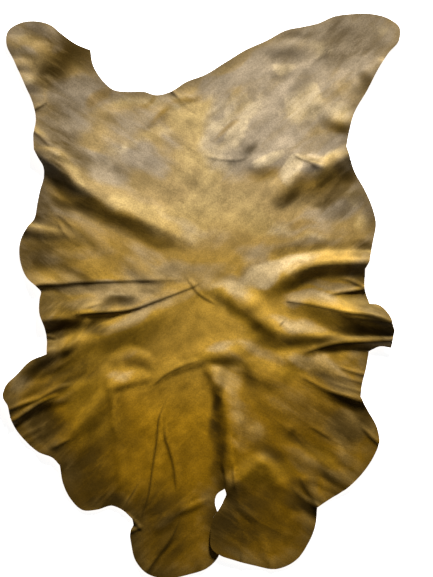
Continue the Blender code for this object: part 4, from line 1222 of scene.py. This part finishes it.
# %% Soft textures that the layers share
CLOUD_SCALE, CLOUD_DETAIL = 11.0, 4.0
PATCH_SCALE, PATCH_DETAIL = 38.0, 4.0
SPECK_SCALE, SPECK_DETAIL = 420.0, 2.0
STROKE_SCALE, STROKE_DETAIL = 34.0, 6.0
STROKE_STRETCH = (3.0, 0.8, 1.0)
STROKE_TURNS = (-32.0, 42.0)                    # degrees, in neighbouring quarters
RIM_WANDER = -50.0                              # mm that a full patch moves the rim's marks in

Grain = namedtuple("Grain", "to_neck to_tail cloud patch speck strokes rim")


def cloudy(tree, vector, scale, detail):
    inputs = {"Vector": vector, "Scale": scale, "Detail": detail, "Roughness": 0.6, "Distortion": 0.3}
    return add(tree, "ShaderNodeTexNoise", inputs).outputs["Fac"]


def brushed(tree, place, turn):
    inputs = {"Vector": place, "Scale": STROKE_STRETCH, "Rotation": (0.0, 0.0, math.radians(turn))}
    stretched = add(tree, "ShaderNodeMapping", inputs, vector_type="TEXTURE").outputs["Vector"]
    return cloudy(tree, stretched, STROKE_SCALE, STROKE_DETAIL)


def grain_textures(tree, place):
    """What the layers follow.  The rim is the distance to the cut edge, made ragged by patches."""
    parts = add(tree, "ShaderNodeSeparateXYZ", {"Vector": place})
    across, along = parts.outputs["X"], parts.outputs["Y"]
    quarter = between(tree, times(tree, across, along), QUARTERS)
    patch = cloudy(tree, place, PATCH_SCALE, PATCH_DETAIL)
    return Grain(
        to_neck=between(tree, along, TOWARD_NECK),
        to_tail=between(tree, along, TOWARD_TAIL),
        cloud=cloudy(tree, place, CLOUD_SCALE, CLOUD_DETAIL),
        patch=patch,
        speck=cloudy(tree, place, SPECK_SCALE, SPECK_DETAIL),
        strokes=mix(tree, quarter, *(brushed(tree, place, turn) for turn in STROKE_TURNS)),
        rim=math_node(tree, "ADD", mark(tree, "rim_distance"), times(tree, patch, RIM_WANDER)),
    )


# %% Ways of laying a tone on
DAUB_WEIGHT, TEXTURE_WEIGHT = 1.1, 1.4
BLOTCH = Span(0.90, 1.80, 0.0, 0.74)            # daub and texture together, to how much shows
Shade = namedtuple("Shade", "swing low high", defaults=(0.36, 0.64))


def blotched(tree, daub, texture):
    """Break a soft daub into soft patches that follow a texture."""
    daub, texture = times(tree, daub, DAUB_WEIGHT), times(tree, texture, TEXTURE_WEIGHT)
    return between(tree, math_node(tree, "ADD", daub, texture), BLOTCH)


def along_hide(tree, grain, tones):
    """The tone for each place between the neck and the tail."""
    front = mix(tree, grain.to_neck, (*tones.back, 1.0), (*tones.neck, 1.0))
    return mix(tree, grain.to_tail, front, (*tones.tail, 1.0))


def shaded(tree, colour, factor, shade):
    """Make a colour darker and lighter by the shade's swing, following a texture."""
    stops = ((shade.low, (1.0 - shade.swing,) * 3), (shade.high, (1.0 + shade.swing,) * 3))
    return mix(tree, 1.0, colour, ramp(tree, factor, stops), "MULTIPLY")


# %% The layers: dye, haze and wax, with painted shade, highlights and sheen
# how strongly the amber and its painted shade cover the dye
AMBER_AND_SHADE_SHARE = 0.8
# how dark the painted shade beside the sharp crests is
CREASE_SHADE_SHARE = 0.75
RIM_HAZE = Span(35.0, -20.0, 0.0, 0.6)          # mm from the cut edge, less the wander
RIM_WAX = Span(5.0, -28.0, 0.0, 0.5)
HAZE_AND_SHEEN_OVER_AMBER_SHADE = Span(0.0, 1.0, 1.0, 0.4)      # the haze and painted sheen are thinner where amber and painted shade lie
WAX_AND_SHADE_IN_STROKES = Span(0.64, 0.44, 0.72, 1.0)    # the wax and painted shade are thinner on the light strokes


def dyed_with_painted_light(tree, grain, rubbed_and_highlight):
    """Golden dye, paler where it is rubbed or a highlight is painted, with amber dye and painted shade
    over it.
    """
    colour = mix(tree, rubbed_and_highlight, along_hide(tree, grain, DYE_AND_FALLOFF_SHADE), along_hide(tree, grain, RUBBED_AND_HIGHLIGHT_TONE))
    return mix(tree, times(tree, mark(tree, "amber_and_shade"), AMBER_AND_SHADE_SHARE), colour, (*AMBER_AND_SHADE_TONE, 1.0))


def hazed_with_painted_sheen(tree, grain, rubbed_and_highlight, colour):
    """Grey haze and painted sheen in brush strokes, on their own daubs and in from the cut edge."""
    at_rim = between(tree, grain.rim, RIM_HAZE)
    cover = math_node(tree, "MAXIMUM", mark(tree, "haze_and_sheen"), at_rim)
    thinned = between(tree, mark(tree, "amber_and_shade"), HAZE_AND_SHEEN_OVER_AMBER_SHADE)
    cover = times(tree, blotched(tree, cover, grain.strokes), thinned)
    plain, pale = along_hide(tree, grain, HAZE_AND_SHEEN_TONE), along_hide(tree, grain, PALE_HAZE_AND_SHEEN_TONE)
    return mix(tree, cover, colour, mix(tree, rubbed_and_highlight, plain, pale))


def waxed_with_painted_shade(tree, grain, colour):
    """Dark wax and painted shade on their daubs, wax along the cut edge, painted shade in the creases.
    """
    daubs = times(tree, mark(tree, "wax_and_shade"), between(tree, grain.strokes, WAX_AND_SHADE_IN_STROKES))
    # painted shade beside the sharp crests
    creases = times(tree, mark(tree, "crease"), CREASE_SHADE_SHARE)
    for layer in (daubs, between(tree, grain.rim, RIM_WAX), creases):
        colour = mix(tree, layer, colour, (*WAX_AND_SHADE_BROWN, 1.0))
    return colour


# %% Pores and creping
PORE_SCALE = 620.0
PORE_DEPTH = 0.0004      # metres
CREPING_DEPTH = 0.004    # metres


def embossed(tree, place, strokes):
    """A surface with small pores and with a faint creping that follows the strokes."""
    cells = add(tree, "ShaderNodeTexVoronoi", {"Vector": place, "Scale": PORE_SCALE},
                feature="SMOOTH_F1").outputs["Distance"]
    pores = add(tree, "ShaderNodeBump", {"Height": cells, "Strength": 0.25, "Distance": PORE_DEPTH},
                invert=True)
    creping = {"Height": strokes, "Strength": 0.16, "Distance": CREPING_DEPTH,
               "Normal": pores.outputs["Normal"]}
    return add(tree, "ShaderNodeBump", creping).outputs["Normal"]


# %% The grain side
CLOUD_SHADE = Shade(0.15)
PATCH_SHADE = Shade(0.12)
STROKE_SHADE = Shade(0.14, 0.40, 0.60)
SPECK_SHADE = Shade(0.16)
WORN_SATIN = Span(0.3, 0.7, 0.48, 0.62)         # patches, to roughness


def grain_finish():
    material, tree, shader = new_finish("antiqued grain leather")
    place = object_place(tree)
    grain = grain_textures(tree, place)
    # pale rubbed wear and painted highlights, broken into patches
    rubbed_and_highlight = blotched(tree, mark(tree, "rubbed_and_highlight"), grain.patch)
    colour = hazed_with_painted_sheen(tree, grain, rubbed_and_highlight, dyed_with_painted_light(tree, grain, rubbed_and_highlight))
    for factor, shade in (
        (grain.cloud, CLOUD_SHADE),
        (grain.patch, PATCH_SHADE),
        (grain.strokes, STROKE_SHADE),
    ):
        colour = shaded(tree, colour, factor, shade)
    colour = shaded(tree, waxed_with_painted_shade(tree, grain, colour), grain.speck, SPECK_SHADE)
    tree.links.new(colour, shader.inputs["Base Color"])
    tree.links.new(between(tree, grain.patch, WORN_SATIN), shader.inputs["Roughness"])
    tree.links.new(embossed(tree, place, grain.strokes), shader.inputs["Normal"])
    shader.inputs["IOR"].default_value = 1.40
    shader.inputs["Specular IOR Level"].default_value = 0.40
    shader.inputs["Specular Tint"].default_value = (1.0, 0.66, 0.16, 1.0)
    return material


# %% [markdown]
# The flesh side and the cut edge are bare fibre with no dye on them: pale, matt and a little
# fluffy.  One function makes both, with finer fibre at the edge, where the knife cut through it.

# %% The flesh side and the cut edge
Fibre = namedtuple("Fibre", "name pale dark scale")
FLESH_SIDE = Fibre("flesh side suede", (0.46, 0.33, 0.19), (0.33, 0.22, 0.11), 300)
CUT_EDGE = Fibre("raw cut edge", (0.30, 0.20, 0.10), (0.15, 0.09, 0.04), 900)


def fibre_finish(fibre):
    material, tree, shader = new_finish(fibre.name)
    inputs = {"Vector": object_place(tree), "Scale": fibre.scale, "Detail": 6.0, "Roughness": 0.7}
    strands = add(tree, "ShaderNodeTexNoise", inputs).outputs["Fac"]
    colour = ramp(tree, strands, ((0.3, fibre.dark), (0.7, fibre.pale)))
    tree.links.new(colour, shader.inputs["Base Color"])
    shader.inputs["Roughness"].default_value = 0.95
    shader.inputs["Sheen Weight"].default_value = 0.3
    nap = add(tree, "ShaderNodeBump", {"Height": strands, "Strength": 0.5, "Distance": 0.0006})
    tree.links.new(nap.outputs["Normal"], shader.inputs["Normal"])
    return material


for finish in (grain_finish(), fibre_finish(FLESH_SIDE), fibre_finish(CUT_EDGE)):
    hide_mesh.materials.append(finish)
print("finishes:", [finish.name for finish in hide_mesh.materials])

# %% [markdown]
# ## The finished mesh
#
# A modifier is worked out anew each time that the scene is drawn.  The hide won't change any more,
# so the result is kept as a plain mesh, which measures and exports the same everywhere.  Smooth
# shading rounds the folds, and a limit on the angle keeps the corners of the cut edge crisp.

# %% Keep the result of the modifier
EDGE_ANGLE = 70          # degrees, sharper than any fold and blunter than the cut edge
finished = bpy.data.meshes.new_from_object(hide.evaluated_get(bpy.context.evaluated_depsgraph_get()))
hide.modifiers.clear()
hide.data = finished
finished.name = "hide_leather"
finished.shade_smooth()
finished.set_sharp_from_angle(angle=math.radians(EDGE_ANGLE))
print("triangles:", sum(len(p.vertices) - 2 for p in finished.polygons))

# %% [markdown]
# ## Floor, light and camera
#
# A hide is looked over on a white table.  A wide pale floor stands for the table, and it glows a
# little so that it stays white.  Light from straight above would flatten the folds, so one soft
# lamp stands low beyond the neck and rakes across them.  The camera looks straight down from high
# up with a long lens, so the rim of the hide is seen true.

# %% The pale floor
FLOOR_SIZE = 14.0        # metres
FLOOR_DROP = 0.0006      # metres below the hide, so that the two never share a plane
FLOOR_GLOW = 0.88
WHITE = (1.0, 1.0, 1.0, 1.0)

floor_grid = bmesh.new()
bmesh.ops.create_grid(floor_grid, x_segments=1, y_segments=1, size=FLOOR_SIZE / 2)
bmesh.ops.translate(floor_grid, verts=floor_grid.verts, vec=(0, 0, -FLOOR_DROP))
floor_mesh = bpy.data.meshes.new("floor")
floor_grid.to_mesh(floor_mesh)
floor_grid.free()
floor = bpy.data.objects.new("floor", floor_mesh)
bpy.context.scene.collection.objects.link(floor)
floor_finish, _floor_tree, floor_shader = new_finish("pale floor")
floor_shader.inputs["Base Color"].default_value = (0.86, 0.86, 0.86, 1.0)
floor_shader.inputs["Roughness"].default_value = 0.9
floor_shader.inputs["Emission Color"].default_value = WHITE
floor_shader.inputs["Emission Strength"].default_value = FLOOR_GLOW
floor_mesh.materials.append(floor_finish)
floor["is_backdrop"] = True

# %% The lamp and the room's own light
LAMP_PLACE = Vector((0.75, 3.1, 1.5))
LAMP_SIZE = 0.8          # metres
LAMP_POWER = 440         # watts
ROOM_LIGHT = 0.08

lamp_data = bpy.data.lights.new("key light", "AREA")
lamp_data.shape = "DISK"
lamp_data.size = LAMP_SIZE
lamp_data.energy = LAMP_POWER
lamp = bpy.data.objects.new("key light", lamp_data)
lamp.location = LAMP_PLACE
lamp.rotation_euler = (-LAMP_PLACE).to_track_quat("-Z", "Y").to_euler()
bpy.context.scene.collection.objects.link(lamp)

world = bpy.data.worlds.new("studio")
world.use_nodes = True
background = world.node_tree.nodes["Background"]
background.inputs["Color"].default_value = WHITE
background.inputs["Strength"].default_value = ROOM_LIGHT
bpy.context.scene.world = world
bpy.context.scene.view_settings.view_transform = "Standard"

# %% The camera
CAMERA_PLACE = Vector((0.0265, 0.0135, 6.0))
VIEW_HEIGHT = 1.0386     # metres of the floor from the lower to the upper edge of the view

camera_data = bpy.data.cameras.new("camera")
camera_data.sensor_fit = "VERTICAL"
camera_data.sensor_height = 24.0
camera_data.lens = camera_data.sensor_height * CAMERA_PLACE.z / VIEW_HEIGHT
camera = bpy.data.objects.new("camera", camera_data)
camera.location = CAMERA_PLACE
bpy.context.scene.collection.objects.link(camera)
bpy.context.scene.camera = camera
print(f"lens: {camera_data.lens:.1f} mm")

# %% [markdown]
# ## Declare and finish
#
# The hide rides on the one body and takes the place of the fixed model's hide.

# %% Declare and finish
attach(hide, "root")
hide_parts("hide")

visual_box = [list(corner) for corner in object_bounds()]
print("box of the finished hide, m:", [[round(c, 4) for c in corner] for corner in visual_box])
